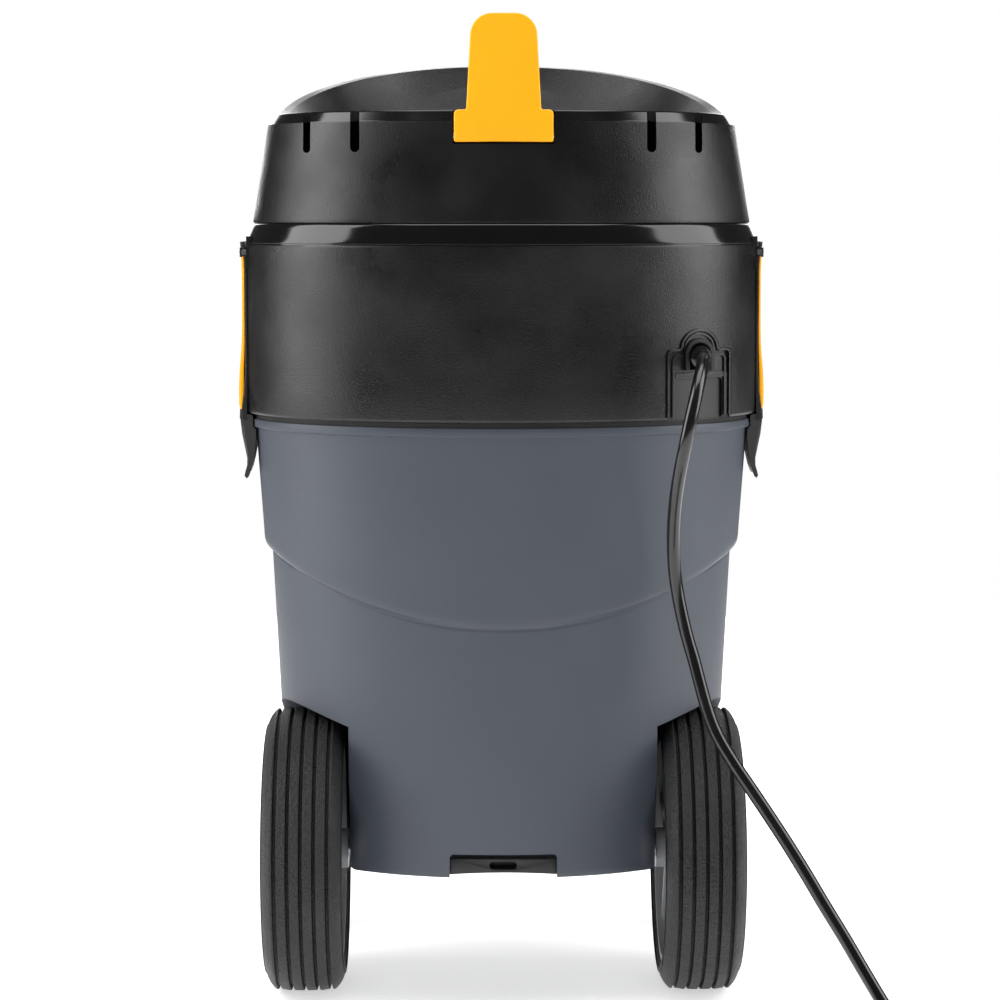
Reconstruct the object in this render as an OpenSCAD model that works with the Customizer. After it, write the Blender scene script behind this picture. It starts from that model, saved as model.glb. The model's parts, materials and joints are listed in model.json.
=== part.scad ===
// Wheeled wet and dry shop vacuum: a tall tank on two large rear wheels and two front casters,
// with a lift-off motor head, side latches, a cord hook, a pleated filter and a mains cord.
// Millimetres. +Z is up, the front faces -Y, and the floor is at z = 0.

/* [Overall] */
// Width of the head at its widest line
head_w = 365; // [320:1:440]
// Reach of the head behind its widest line
rear_reach = 136; // [120:1:165]
// Reach of the head in front of its widest line
front_reach = 215; // [185:1:260]
// Height of the tank's rim above the floor
tank_top = 404; // [350:1:490]
// Height of the head's lower housing, from the tank's rim to its top edge
housing_h = 138; // [120:1:166]
// Height of the top cover's rear rim above the lower housing
cover_h = 76; // [66:1:92]
// Rise of the top cover's rim towards the front
front_rise = 44; // [0:1:60]

/* [Tank] */
// Height of the tank's lower edge above the floor
tank_bottom = 93; // [80:1:112]
// Thickness of the tank's wall
tank_wall = 4; // [2.5:0.5:5]
// Depth of the hollow under the tank's floor
skirt_h = 24; // [18:1:30]
// Height of the lowest point of the curved step in the tank's wall
arc_low = 267; // [230:1:320]
// Rise of the curved step from the middle to the sides
arc_rise = 42; // [20:1:55]
// How far the tank stands proud above the curved step at the sides
arc_proud = 6.5; // [2:0.5:9]
// Width of the notch for the rear grip
notch_w = 74; // [50:1:96]
// Height of the notch for the rear grip
notch_h = 17; // [14:1:20]

/* [Hose inlet] */
// Radius of the socket that takes the hose's cuff
port_r = 20; // [16:0.5:24]
// Height of the hose inlet's axis above the floor
port_z = 335; // [300:1:350]
// How far the inlet stands out in front of the head
port_out = 57; // [45:1:70]

/* [Rear wheels] */
// Radius of a rear wheel
wheel_r = 100; // [84:1:120]
// Width of a rear tyre
tyre_w = 56; // [46:1:60]
// Distance of the rear axle behind the head's widest line
axle_back = 42; // [30:1:50]
// Radius of the axle rod
axle_r = 6; // [5:0.5:8]
// Distance from the middle to a tyre's inner side
wheel_in = 110.5; // [108:0.5:118]

/* [Casters] */
// Radius of a caster's wheel
caster_r = 25; // [20:1:29]
// Distance of a caster's swivel axis from the middle
caster_x = 155; // [130:1:165]
// Distance of the casters' swivel axes in front of the rear axle
caster_ahead = 195; // [180:1:205]
// Distance of a caster's wheel behind its swivel axis
caster_trail = 18; // [14:1:22]

/* [Head] */
// Thickness of the head's walls
head_wall = 4; // [2.5:0.5:5]
// Radius of the round motor and filter opening in the deck
neck_r = 46; // [38:1:50]
// Distance of the motor's axis in front of the head's widest line
motor_ahead = 25; // [10:1:40]
// Radius of the turbine's case
turbine_r = 72; // [60:1:86]
// Radius of the pleated filter
filter_r = 75; // [66:1:84]
// Height of the pleated filter
filter_h = 130; // [110:1:140]

/* [Latches] */
// Width of a side latch
latch_w = 62; // [46:1:74]
// Length of a side latch below its pivot
latch_drop = 161; // [140:1:170]

/* [Cord hook] */
// Width of the hook's foot
hook_foot_w = 66.6; // [56:0.1:80]
// Width of the hook's stem at its root
hook_stem_w = 50; // [42:1:54]
// Height of the hook's stem above the rear rim
hook_stem_h = 64; // [52:1:76]

/* [Cord] */
// Diameter of the mains cord
cord_d = 9; // [7:0.5:10.5]
// Distance of the cord's outlet from the middle
outlet_x = 134.5; // [120:0.5:142]
// Height of the cord's outlet above the tank's rim
outlet_up = 47.5; // [44:0.5:52]

/* [Hidden] */

$fn = 64;
SEG = 48;          // points round each lofted ring
EPS = 0.01;        // overshoot of a cut
RUN = 0.05;        // radial clearance of a running fit
GAP = 0.5;         // gap between pieces that only lie beside each other
SQUARENESS = 2.1;  // exponent of the plan outline, 2 is an ellipse

hw = head_w / 2;
wheel_back = axle_back + wheel_r;
yw = (front_reach + port_out - wheel_back) / 2;  // the widest line, with the whole part centred on y = 0
axle_y = yw + axle_back;
axle_z = wheel_r;
motor_y = yw - motor_ahead;

// The tank, as half widths of its plan outline
tank_top_a = hw - 7.5;
tank_rim_a = tank_top_a + 3;
tank_foot_a = tank_top_a - 22;
rim_h = 5;
foot_round = 6;
floor_z = tank_bottom + skirt_h;
well_gap = 6;
well_in_top = wheel_in - 2.5;
well_in_bottom = wheel_in - 7;
boss_r = port_r + 20;
boss_y = yw - front_reach * tank_top_a / hw + 6;

// The head, as half widths of its plan outline
seal_h = 4;
deck_z = tank_top + seal_h;
deck_t = 6;
housing_z = tank_top + 6;
housing_top = tank_top + housing_h;
bevel_z = housing_top - 13.5;
bevel_a = hw - 6.5;
cover_top = housing_top + cover_h;
cover_rim_a = hw - 22;
dish_floor_a = hw - 66;
dish_floor_z = cover_top - 30;
ledge_a = hw - 24;

// The latches
pivot_x = hw - 2;
pivot_z = bevel_z - 6.5;
latch_pin_r = 2;
pin_end = 5;
latch_seat_r = 6.2;
knuckle_r = 4;
latch_half = latch_w / 2;

// The cord hook
hook_t = 9;
hook_foot_h = 22;
hook_pin_r = 2.5;
hook_y = yw + rear_reach * (cover_rim_a + 5) / hw - hook_t / 2 + 1;
hook_z = cover_top - hook_foot_h + hook_t / 2;

// The control panel
panel_w = 96;
panel_h = 62;
panel_z = housing_z + 66;
knob_r = 19;
knob_y = yw - front_reach * (hw + 1.5) / hw;

// The cord's outlet, its route, and its coil on the floor
outlet_z = tank_top + outlet_up;
outlet_y = yw + rear_reach * 0.66 + 6;
cord_r = cord_d / 2;
coil_at = [-220, 370];
coil_r = 54;
coil_wide = 4 * cord_d;
coil_high = 4 * cord_d;
tie_t = 1.2;
cord_route = [
  [-134.5, 177.7, 451.6], [-134.4, 188, 451.6], [-133.6, 198.7, 450.2], [-132.1, 208.6, 446.1],
  [-130, 217.2, 439.6], [-127.6, 223.8, 431.2], [-125.1, 228.2, 421.3], [-122.7, 230, 410.8],
  [-120.2, 229.2, 398.6], [-118, 225.2, 386], [-116.2, 219, 373.2], [-115, 211.4, 360.2],
  [-114.4, 203.6, 347], [-114.4, 196.6, 333.4], [-115, 191, 319.4], [-116.3, 187.6, 305],
  [-118.6, 186.4, 290], [-121.8, 187, 274.5], [-125.5, 188.8, 259.5], [-129.3, 191.2, 246.5],
  [-137, 199, 217], [-144, 206, 198], [-154, 213, 181], [-165, 221, 165], [-176, 229, 149],
  [-188, 238, 131], [-200, 247, 112], [-212, 256, 92], [-225, 266, 71], [-238, 277, 49],
  [-250.5, 288.5, 29], [-262.5, 303, 14.5], [-272.5, 321, 7], [-282, 343, 5.7]
];

// ---- Outlines and lofts ----

function spow(v, p) = sign(v) * pow(abs(v), p);

// Point of the plan outline of half width a, at angle t
function plan(a, t) =
  let (reach = (sin(t) > 0 ? rear_reach : front_reach) * a / hw)
  [a * spow(cos(t), 2 / SQUARENESS), yw + reach * spow(sin(t), 2 / SQUARENESS)];

function turn(i) = 360 * i / SEG;

// Level ring of half width a
function ring(a, z) = [for (i = [0:SEG - 1]) concat(plan(a, turn(i)), z)];

// Height of the tank's curved step at angle t
function arc_z(t) = arc_low + arc_rise * pow(cos(t), 2);

// Half width of the tank's wall below the step
function low_a(z) =
  tank_foot_a + (tank_top_a - tank_foot_a - arc_proud) * (z - tank_bottom) / (tank_top - tank_bottom);

// Ring that follows the curved step, up from it, and out from the lower wall
function step_ring(up, out, proud) = [
  for (i = [0:SEG - 1])
    let (t = turn(i), z = arc_z(t) + up)
    concat(plan(low_a(z) + out + proud * arc_proud * pow(abs(cos(t)), 0.8), t), z)
];

// Ring part of the way between two rings
function between(a, b, f) = [for (i = [0:SEG - 1]) a[i] + f * (b[i] - a[i])];

// Height of the cover's rim at angle t. It stays low at the sides, then rises evenly towards the front
rise_start = sqrt(0.05) - 0.2;
function rim_z(t) =
  let (front = max(0, -spow(sin(t), 2 / SQUARENESS)), u = 1.2 * front - 0.2)
  cover_top + front_rise / 2 * (front + (u + sqrt(u * u + 0.01) - rise_start) / (1 + sqrt(1.01) - rise_start));

// Ring of the cover at a share f of the way from its foot to its rim
function cover_ring(a, f, down) = [
  for (i = [0:SEG - 1])
    let (t = turn(i))
    concat(plan(a, t), housing_top + f * (rim_z(t) - housing_top) - down)
];

// Solid through rings of equal length, capped at both ends or closed on itself
module loft(rings, closed = false) {
  n = len(rings[0]);
  m = len(rings);
  last = closed ? m - 1 : m - 2;
  sides = [
    for (j = [0:last], i = [0:n - 1])
      let (lo = j * n, up = ((j + 1) % m) * n, k = (i + 1) % n)
      each [[lo + i, up + i, up + k], [lo + i, up + k, lo + k]]
  ];
  caps = closed ? [] : [[for (i = [0:n - 1]) i], [for (i = [n - 1:-1:0]) (m - 1) * n + i]];
  polyhedron([for (r = rings) each r], concat(sides, caps), convexity = 8);
}

// Several lofts and cuts joined into one body
module merged() {
  resize([0, 0, 0]) children();
}

// Flat outline between two half widths of the plan
module band(outer, inner) {
  difference() {
    polygon([for (i = [0:2 * SEG - 1]) plan(outer, 180 * i / SEG)]);
    polygon([for (i = [0:2 * SEG - 1]) plan(inner, 180 * i / SEG)]);
  }
}

// Upright slab of the plan between two half widths
module slab(outer, inner, z, h) {
  translate([0, 0, z])
    linear_extrude(h)
      band(outer, inner);
}

// Box from its lowest to its highest corner
module block(lo, hi) {
  translate(lo)
    cube(hi - lo);
}

// Cylinder along +X or +Y from a point
module rod_x(at, r, l) {
  translate(at)
    rotate([0, 90, 0])
      cylinder(r = r, h = l);
}

module rod_y(at, r, l) {
  translate(at)
    rotate([-90, 0, 0])
      cylinder(r = r, h = l);
}

// Points of an arc in a plane
function arc(c, r, from, to, n) = [
  for (i = [0:n])
    let (a = from + (to - from) * i / n)
    c + r * [cos(a), sin(a)]
];

module both_sides() {
  children();
  mirror([1, 0, 0])
    children();
}

// ---- Tank ----

// Space of the rear wheels, grown by a wall
module wheel_wells(grow) {
  both_sides()
    intersection() {
      translate([0, axle_y + 200, 0])
        rotate([90, 0, 0])
          linear_extrude(400)
            polygon([
              [well_in_bottom - grow, 0], [well_in_bottom - grow, tank_bottom],
              [well_in_top - grow, axle_z + 0.75 * wheel_r],
              [well_in_top - grow, axle_z + wheel_r + well_gap + grow],
              [head_w, axle_z + wheel_r + well_gap + grow], [head_w, 0]
            ]);
      union() {
        rod_x([0, axle_y, axle_z], wheel_r + well_gap + grow, head_w);
        block([0, axle_y - wheel_r - well_gap - grow, -EPS], [head_w, axle_y + 200, axle_z]);
        block([0, axle_y, -EPS], [head_w, axle_y + 200, axle_z + 0.62 * wheel_r]);
      }
    }
}

function tank_skin() = [
  ring(tank_foot_a - 4, tank_bottom), ring(tank_foot_a - 1.2, tank_bottom + 1.5),
  ring(tank_foot_a, tank_bottom + foot_round),
  between(ring(tank_foot_a, tank_bottom + foot_round), step_ring(-1.5, 0, 0), 0.5),
  step_ring(-1.5, 0, 0), step_ring(0.8, 0, 0.4), step_ring(4, 0.3, 0.9), step_ring(10, 0.8, 1),
  between(step_ring(10, 0.8, 1), ring(tank_top_a, tank_top - rim_h), 0.5),
  ring(tank_top_a, tank_top - rim_h - 0.5), ring(tank_rim_a, tank_top - rim_h), ring(tank_rim_a, tank_top)
];

function tank_hollow() = [
  ring(tank_foot_a - 14, floor_z + tank_wall), ring(tank_foot_a - 6, floor_z + tank_wall + 4),
  ring(tank_foot_a - tank_wall, floor_z + tank_wall + 14), step_ring(-1.5, -tank_wall, 0),
  step_ring(8, -tank_wall, 0.7), ring(tank_top_a - tank_wall, tank_top - 14),
  ring(tank_top_a - tank_wall, tank_top + EPS)
];

module tank_body() {
  difference() {
    union() {
      loft(tank_skin());
      intersection() {
        rod_y([0, boss_y - 6, port_z], boss_r, 40);
        block([-head_w, boss_y - 8, 0], [head_w, 0, tank_top]);
      }
    }
    wheel_wells(0);
    difference() {
      loft(tank_hollow());
      wheel_wells(tank_wall);
    }
    difference() {
      loft([ring(tank_foot_a - 8, tank_bottom - 1), ring(tank_foot_a - 6, floor_z)]);
      wheel_wells(tank_wall);
      beam_screw_places()
        cylinder(r = 8, h = floor_z + 1);
    }
    block([-notch_w / 2, yw, 0], [notch_w / 2, axle_y + wheel_r, tank_bottom + notch_h]);
  }
}

module tank() {
  color([0.32, 0.34, 0.37])
    difference() {
      merged() tank_body();
      rod_y([0, boss_y - 20, port_z], port_r + 6, 60);
      rod_x([-head_w / 2, axle_y, axle_z], axle_r, head_w);
      for (a = [45:90:315])
        rod_y([(port_r + 13) * cos(a), boss_y - 20, port_z + (port_r + 13) * sin(a)], 2, 30);
      beam_screw_places()
        cylinder(r = beam_screw_r, h = tank_bottom + beam_screw_bite);
    }
}

module grip_insert() {
  back = yw + rear_reach * tank_foot_a / hw - 9;
  lip = 1.6;
  color([0.12, 0.13, 0.15])
    difference() {
      block([-notch_w / 2, back - 34, tank_bottom + 1], [notch_w / 2, back, tank_bottom + notch_h - 3.5]);
      block([-8, back - 12, tank_bottom + 4], [8, back + 1, tank_bottom + 10]);
      block(
        [3 - notch_w / 2, back - 36, tank_bottom],
        [notch_w / 2 - 3, back - 14, tank_bottom + notch_h - 3.5 - 3 * lip]
      );
    }
}

module hose_port() {
  mouth = yw - front_reach - port_out;
  color([0.1, 0.1, 0.11])
    difference() {
      union() {
        rod_y([0, mouth, port_z], port_r + 4.5, boss_y - 6 - mouth);
        rod_y([0, mouth, port_z], port_r + 7, 9);
        rod_y([0, boss_y - 11, port_z], boss_r - 2, 5);
        rod_y([0, boss_y - 11, port_z], port_r + 6, 34);
      }
      rod_y([0, mouth - 1, port_z], port_r, boss_y + 26 - mouth);
      for (a = [45:90:315])
        rod_y([(port_r + 13) * cos(a), boss_y - 20, port_z + (port_r + 13) * sin(a)], 2, 30);
    }
}

module port_screws() {
  color([0.7, 0.7, 0.72])
    for (a = [45:90:315])
      translate([(port_r + 13) * cos(a), 0, port_z + (port_r + 13) * sin(a)]) {
        rod_y([0, boss_y - 13.5, 0], 4, 2.5);
        rod_y([0, boss_y - 11, 0], 2, 16);
      }
}

// Square duct inside the tank that turns the incoming air down
module inlet_deflector() {
  start = boss_y + 23;
  half = port_r + 4;
  skin = 2.5;
  bend = 34;
  drop = 18;
  color([0.1, 0.1, 0.11])
    difference() {
      block([-half, start, port_z - port_r - drop], [half, start + bend, port_z + half]);
      block([skin - half, start - 1, port_z - port_r], [half - skin, start + bend - skin, port_z + half - skin]);
      block([skin - half, start + skin, port_z - port_r - drop - 1], [half - skin, start + bend - skin, port_z]);
    }
}

// ---- Undercarriage ----

beam_top = tank_bottom;
beam_bottom = 2 * caster_r + 16;
caster_y = axle_y - caster_ahead;
stem_r = 5.5;
stem_top = beam_top - 6;
fork_top = beam_bottom - GAP;
fork_t = 3;
caster_w = 20;
beam_half = 20;
beam_screw_r = 2.5;
beam_screw_bite = 14;

module beam_screw_places() {
  for (s = [-1, 1])
    translate([s * caster_x * 0.45, caster_y, 0])
      children();
}

module caster_beam() {
  color([0.12, 0.12, 0.13])
    difference() {
      union() {
        block([-caster_x, caster_y - beam_half, beam_bottom], [caster_x, caster_y + beam_half, beam_top]);
        for (s = [-1, 1])
          translate([s * caster_x, caster_y, beam_bottom])
            cylinder(r = beam_half, h = beam_top - beam_bottom);
      }
      for (s = [-1, 1])
        translate([s * caster_x, caster_y, beam_bottom - 1])
          cylinder(r = stem_r + RUN, h = stem_top - beam_bottom + 2);
      beam_screw_places()
        cylinder(r = beam_screw_r, h = beam_top + 1);
      block([-55, caster_y - 16, beam_bottom - 1], [55, caster_y + 16, beam_top - 5]);
    }
}

module beam_screws() {
  color([0.7, 0.7, 0.72])
    beam_screw_places() {
      translate([0, 0, beam_bottom - 3])
        cylinder(r = 5, h = 3);
      translate([0, 0, beam_bottom])
        cylinder(r = beam_screw_r, h = beam_top - beam_bottom + beam_screw_bite);
    }
}

module caster_fork(s) {
  side = caster_w / 2 + 1;
  color([0.1, 0.1, 0.11])
    translate([s * caster_x, caster_y, 0])
      difference() {
        union() {
          translate([0, 0, fork_top - 4])
            cylinder(r = 17, h = 4);
          translate([0, 0, fork_top - 4])
            cylinder(r = stem_r, h = stem_top - fork_top + 3);
          for (d = [-1, 1])
            translate([d * (side + fork_t / 2) - fork_t / 2, 0, 0])
              rotate([90, 0, 90])
                linear_extrude(fork_t)
                  polygon(concat(
                    [[-10, fork_top - 3]], arc([caster_trail, caster_r], 8, 180, 360, 12), [[14, fork_top - 3]]
                  ));
        }
        rod_x([-20, caster_trail, caster_r], 2.5, 40);
      }
}

module caster_wheel(s) {
  color([0.25, 0.26, 0.28])
    translate([s * caster_x - caster_w / 2, caster_y + caster_trail, caster_r])
      rotate([0, 90, 0])
        rotate_extrude()
          polygon(concat(
            [[2.5 + RUN, -0.5], [6, -0.5], [6, 3], [caster_r - 6, 3], [caster_r - 6, 0]],
            arc([caster_r - 3, 3], 3, -90, 0, 4), arc([caster_r - 3, caster_w - 3], 3, 0, 90, 4),
            [[caster_r - 6, caster_w], [caster_r - 6, caster_w - 3], [6, caster_w - 3]],
            [[6, caster_w + 0.5], [2.5 + RUN, caster_w + 0.5]]
          ));
}

module caster_pin(s) {
  half = caster_w / 2 + 1 + fork_t + 1;
  color([0.7, 0.7, 0.72])
    translate([s * caster_x, caster_y + caster_trail, caster_r]) {
      rod_x([-half, 0, 0], 2.5, 2 * half);
      rod_x([-half - 1.5, 0, 0], 4, 1.5);
      rod_x([half, 0, 0], 4, 1.5);
    }
}

hub_end = tyre_w - 10;
axle_half = wheel_in + hub_end + 4;

module axle() {
  color([0.75, 0.75, 0.77])
    rod_x([-axle_half, axle_y, axle_z], axle_r, 2 * axle_half);
}

module axle_clips() {
  color([0.7, 0.7, 0.72])
    both_sides()
      difference() {
        rod_x([wheel_in + hub_end + 0.4, axle_y, axle_z], axle_r + 4.5, 1.5);
        rod_x([wheel_in + hub_end, axle_y, axle_z], axle_r, 3);
      }
}

// Turned wheel piece on the right, or mirrored to the left, from its inner side outwards
module on_wheel(s) {
  mirror([s > 0 ? 0 : 1, 0, 0])
    translate([wheel_in, axle_y, axle_z])
      rotate([0, 90, 0])
        children();
}

tyre_in_r = wheel_r - 18;
groove_w = 2.4;
groove_deep = 4;
rib_pitch = (tyre_w - 2) / 6;
shoulder = 7;

module tyre(s) {
  color([0.09, 0.09, 0.09])
    on_wheel(s)
      rotate_extrude($fn = 96)
        difference() {
          polygon(concat(
            [[tyre_in_r, 3], [tyre_in_r + 5, 0]], arc([wheel_r - shoulder, shoulder], shoulder, -90, 0, 4),
            arc([wheel_r - shoulder, tyre_w - shoulder], shoulder, 0, 90, 4),
            [[tyre_in_r + 5, tyre_w], [tyre_in_r, tyre_w - 3]]
          ));
          for (i = [1:5])
            translate([wheel_r - groove_deep, 1 + i * rib_pitch - groove_w / 2])
              square([groove_deep + 1, groove_w]);
        }
}

module rim(s) {
  color([0.62, 0.63, 0.64])
    on_wheel(s)
      difference() {
        union() {
          rotate_extrude($fn = 96)
            polygon([
              [axle_r + RUN, -1.5], [14, -1.5], [14, 22], [tyre_in_r - 5, 22], [tyre_in_r - 5, 3], [tyre_in_r, 3],
              [tyre_in_r, tyre_w - 3], [tyre_in_r - 5, tyre_w - 3], [tyre_in_r - 5, 27], [14, 27],
              [14, hub_end], [axle_r + RUN, hub_end]
            ]);
          for (a = [0:36:324])
            rotate([0, 0, a])
              block([12, -1.5, 6], [tyre_in_r - 3, 1.5, 23]);
        }
        for (a = [18:72:306])
          rotate([0, 0, a])
            translate([(tyre_in_r + 10) / 2, 0, 15])
              cylinder(r = 8, h = 20);
      }
}

module hub_cap(s) {
  color([0.12, 0.12, 0.13])
    on_wheel(s)
      rotate_extrude()
        polygon(concat(
          [[18, 27], [22, 27]], arc([16, tyre_w - 8], 6, 0, 90, 6),
          [[0, tyre_w - 2], [0, tyre_w - 4.5], [18, tyre_w - 4.5]]
        ));
}

// ---- Head ----

module head_deck() {
  color([0.13, 0.13, 0.14])
    difference() {
      translate([0, 0, deck_z])
        linear_extrude(deck_t)
          polygon([for (i = [0:2 * SEG - 1]) plan(hw - head_wall - 0.8, 180 * i / SEG)]);
      translate([0, motor_y, deck_z - 1])
        cylinder(r = neck_r, h = deck_t + 2);
      deck_screw_places()
        translate([0, 0, deck_z - 1])
          cylinder(r = 2, h = deck_t + 2);
    }
}

module deck_screw_places() {
  for (t = [30:60:330])
    translate(plan(hw - 17.5, t))
      children();
}

module deck_screws() {
  color([0.7, 0.7, 0.72])
    deck_screw_places() {
      translate([0, 0, deck_z - 2.5])
        cylinder(r = 3.8, h = 2.5);
      translate([0, 0, deck_z])
        cylinder(r = 2, h = deck_t + head_wall);
    }
}

module tank_seal() {
  color([0.08, 0.08, 0.08])
    slab(tank_rim_a - 1.5, tank_top_a - tank_wall + 0.5, tank_top, seal_h);
}

// House-shaped opening for the cord's outlet, as a prism along Y
module outlet_shape(inset) {
  half = 22.5 - inset;
  shoulder_z = outlet_z + 4.5 - inset;
  arch_r = 13 - inset;
  translate([-outlet_x, axle_y + 200, 0])
    rotate([90, 0, 0])
      linear_extrude(200 + axle_back) {
        polygon([[-half, housing_z - 5], [half, housing_z - 5], [half, shoulder_z], [-half, shoulder_z]]);
        translate([0, outlet_z + 5])
          circle(r = arch_r);
      }
}

function housing_skin() = [
  ring(hw - 0.8, housing_z), ring(hw, housing_z + 1), ring(hw, bevel_z - 1.5), ring(hw - 0.6, bevel_z),
  ring(bevel_a + 1.2, housing_top - 2.5), ring(bevel_a, housing_top),
  ring(bevel_a - head_wall + 0.5, housing_top), ring(hw - head_wall - 0.6, bevel_z - 3),
  ring(hw - head_wall, deck_z + deck_t + head_wall + 3), ring(ledge_a, deck_z + deck_t + head_wall),
  ring(ledge_a, deck_z + deck_t), ring(hw - head_wall, deck_z + deck_t), ring(hw - head_wall, housing_z)
];

module housing_body() {
  difference() {
    union() {
      loft(housing_skin(), closed = true);
      intersection() {
        loft([ring(hw - 1, pivot_z - 12), ring(hw - 1, bevel_z - 1), ring(hw - 5.5, bevel_z + 8)]);
        both_sides()
          block([hw - 14, yw - latch_half - 6, pivot_z - 11], [hw, yw + latch_half + 6, bevel_z + 7]);
      }
    }
    outlet_shape(0);
    intersection() {
      block([-panel_w / 2, -front_reach * 2, panel_z - panel_h / 2], [panel_w / 2, 0, panel_z + panel_h / 2]);
      slab(head_w, ledge_a, panel_z - panel_h, 2 * panel_h);
    }
    for (s = [-1, 1], k = [0:5])
      block([s * 92 - 24, -front_reach * 2, panel_z - 22 + 9 * k], [s * 92 + 24, 0, panel_z - 18.5 + 9 * k]);
  }
}

module head_housing() {
  color([0.07, 0.07, 0.075])
    difference() {
      merged() housing_body();
      both_sides() {
        rod_y([pivot_x, yw - latch_half - 1, pivot_z], latch_seat_r, latch_w + 2);
        rod_y([pivot_x, yw - latch_half - pin_end, pivot_z], latch_pin_r, latch_w + 2 * pin_end);
      }
      deck_screw_places()
        translate([0, 0, deck_z])
          cylinder(r = 2, h = 30);
    }
}

function cover_skin() = [
  cover_ring(dish_floor_a, 0, housing_top - dish_floor_z),
  cover_ring(dish_floor_a + 8, 0, housing_top - dish_floor_z - 2),
  cover_ring(cover_rim_a - 12, 0.93, 0), cover_ring(cover_rim_a - 5, 1, 1.2), cover_ring(cover_rim_a, 1, 0),
  cover_ring(cover_rim_a + 2.2, 1, 3.5), cover_ring(cover_rim_a + 4.5, 0.9, 0), cover_ring(bevel_a, 0, -3),
  cover_ring(bevel_a, 0, 0), cover_ring(bevel_a - head_wall, 0, 0), cover_ring(cover_rim_a + 0.5, 0.9, 0),
  cover_ring(cover_rim_a - 7, 1, 5), cover_ring(cover_rim_a - 13, 0.86, 0),
  cover_ring(dish_floor_a + 6, 0, housing_top - dish_floor_z + 4),
  cover_ring(dish_floor_a - 2, 0, housing_top - dish_floor_z + 5)
];

rim_slot_w = 5;
rim_slot_deep = 28;
rim_slot_cut = 5;

// Upright slots in the rear rim, cut no deeper than the outer wall
module rim_slots() {
  for (s = [-1, 1], share = [0.55, 0.735])
    translate([s * share * hw, 0, 0])
      difference() {
        block(
          [-rim_slot_w / 2, yw, cover_top - rim_slot_deep],
          [rim_slot_w / 2, axle_y + wheel_r, cover_top + 1]
        );
        loft([
          cover_ring(bevel_a - rim_slot_cut, 0, 0), cover_ring(cover_rim_a + 4.5 - rim_slot_cut, 0.9, 0),
          cover_ring(cover_rim_a + 0.5 - rim_slot_cut, 1, -5)
        ]);
      }
}

module cover_body() {
  difference() {
    union() {
      loft([for (r = cover_skin()) [for (i = [SEG - 1:-1:0]) r[i]]]);
      intersection() {
        loft([cover_ring(bevel_a - 1, 0, 0), cover_ring(cover_rim_a + 3.5, 0.9, 0), cover_ring(cover_rim_a, 1, 1)]);
        block(
          [-hook_foot_w / 2 - 7, hook_y - 13, hook_z - 11], [hook_foot_w / 2 + 7, hook_y + 20, cover_top]
        );
      }
    }
    block(
      [-hook_foot_w / 2 - 0.7, hook_y - hook_t / 2 - 1, hook_z - 6],
      [hook_foot_w / 2 + 0.7, hook_y + 40, cover_top + 9]
    );
    intersection() {
      loft([cover_ring(bevel_a + 5, 0, 0), cover_ring(bevel_a + 5, 1, -5)]);
      rim_slots();
    }
  }
}

module top_cover() {
  color([0.06, 0.06, 0.065])
    difference() {
      merged() cover_body();
      rod_x([-hook_foot_w / 2 - 5, hook_y, hook_z], hook_pin_r, hook_foot_w + 10);
    }
}

module cord_hook() {
  top = cover_top + hook_stem_h;
  corner = 15;
  root = hook_stem_w / 2;
  tip = root - 2.5;
  foot = hook_foot_w / 2;
  color([1, 0.69, 0])
    difference() {
      union() {
        translate([0, hook_y + hook_t / 2, 0])
          rotate([90, 0, 0])
            linear_extrude(hook_t)
              polygon(concat(
                [[-foot, hook_z], [foot, hook_z]], arc([foot - 2.5, cover_top - 2.5], 2.5, 0, 90, 4),
                [[root, cover_top]], arc([tip - corner, top - corner], corner, 0, 90, 8),
                arc([corner - tip, top - corner], corner, 90, 180, 8), [[-root, cover_top]],
                arc([2.5 - foot, cover_top - 2.5], 2.5, 90, 180, 4)
              ));
        rod_x([-foot, hook_y, hook_z], hook_t / 2, 2 * foot);
      }
      rod_x([-foot - 1, hook_y, hook_z], hook_pin_r + RUN, 2 * foot + 2);
    }
}

module hook_pin() {
  color([0.7, 0.7, 0.72])
    rod_x([-hook_foot_w / 2 - 5, hook_y, hook_z], hook_pin_r, hook_foot_w + 10);
}

// Fore-and-aft handle that bridges the dish
module carry_handle() {
  back = hook_y - 14;
  front = yw - front_reach * dish_floor_a / hw + 6;
  top = cover_top + 27;
  low = dish_floor_z;
  thick = 20;
  color([0.08, 0.08, 0.085])
    translate([-17, 0, 0])
      rotate([90, 0, 90])
        linear_extrude(34)
          polygon([
            [back - 26, low], [back - 4, low + 16], [back, cover_top - 8], [back - 10, cover_top + 10],
            [back - 45, top - 3], [back - 90, top], [front + 60, top + 3], [front + 26, top + 2],
            [front + 10, top - 8], [front + 4, low + 20], [front + 22, low], [front + 46, low],
            [front + 50, top - thick - 8], [front + 70, top - thick + 2],
            [back - 92, top - thick], [back - 56, top - thick - 4], [back - 44, low + 12], [back - 46, low]
          ]);
}

// Plate of a latch, bent to the head's side, cut to its profile seen along Y
module latch_blank(outer, inner, half, profile) {
  intersection() {
    linear_extrude(cover_top)
      intersection() {
        band(outer, inner);
        translate([0, yw - half])
          square([head_w, 2 * half]);
      }
    translate([0, yw + latch_w, 0])
      rotate([90, 0, 0])
        linear_extrude(2 * latch_w)
          polygon(profile);
  }
}

latch_in = hw + 0.6;
latch_out = hw + 2.6;
inlay_out = hw + 5;
tab_in = tank_rim_a + 0.8;
tab_top = housing_z - 2;
latch_tip = pivot_z - latch_drop;

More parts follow.
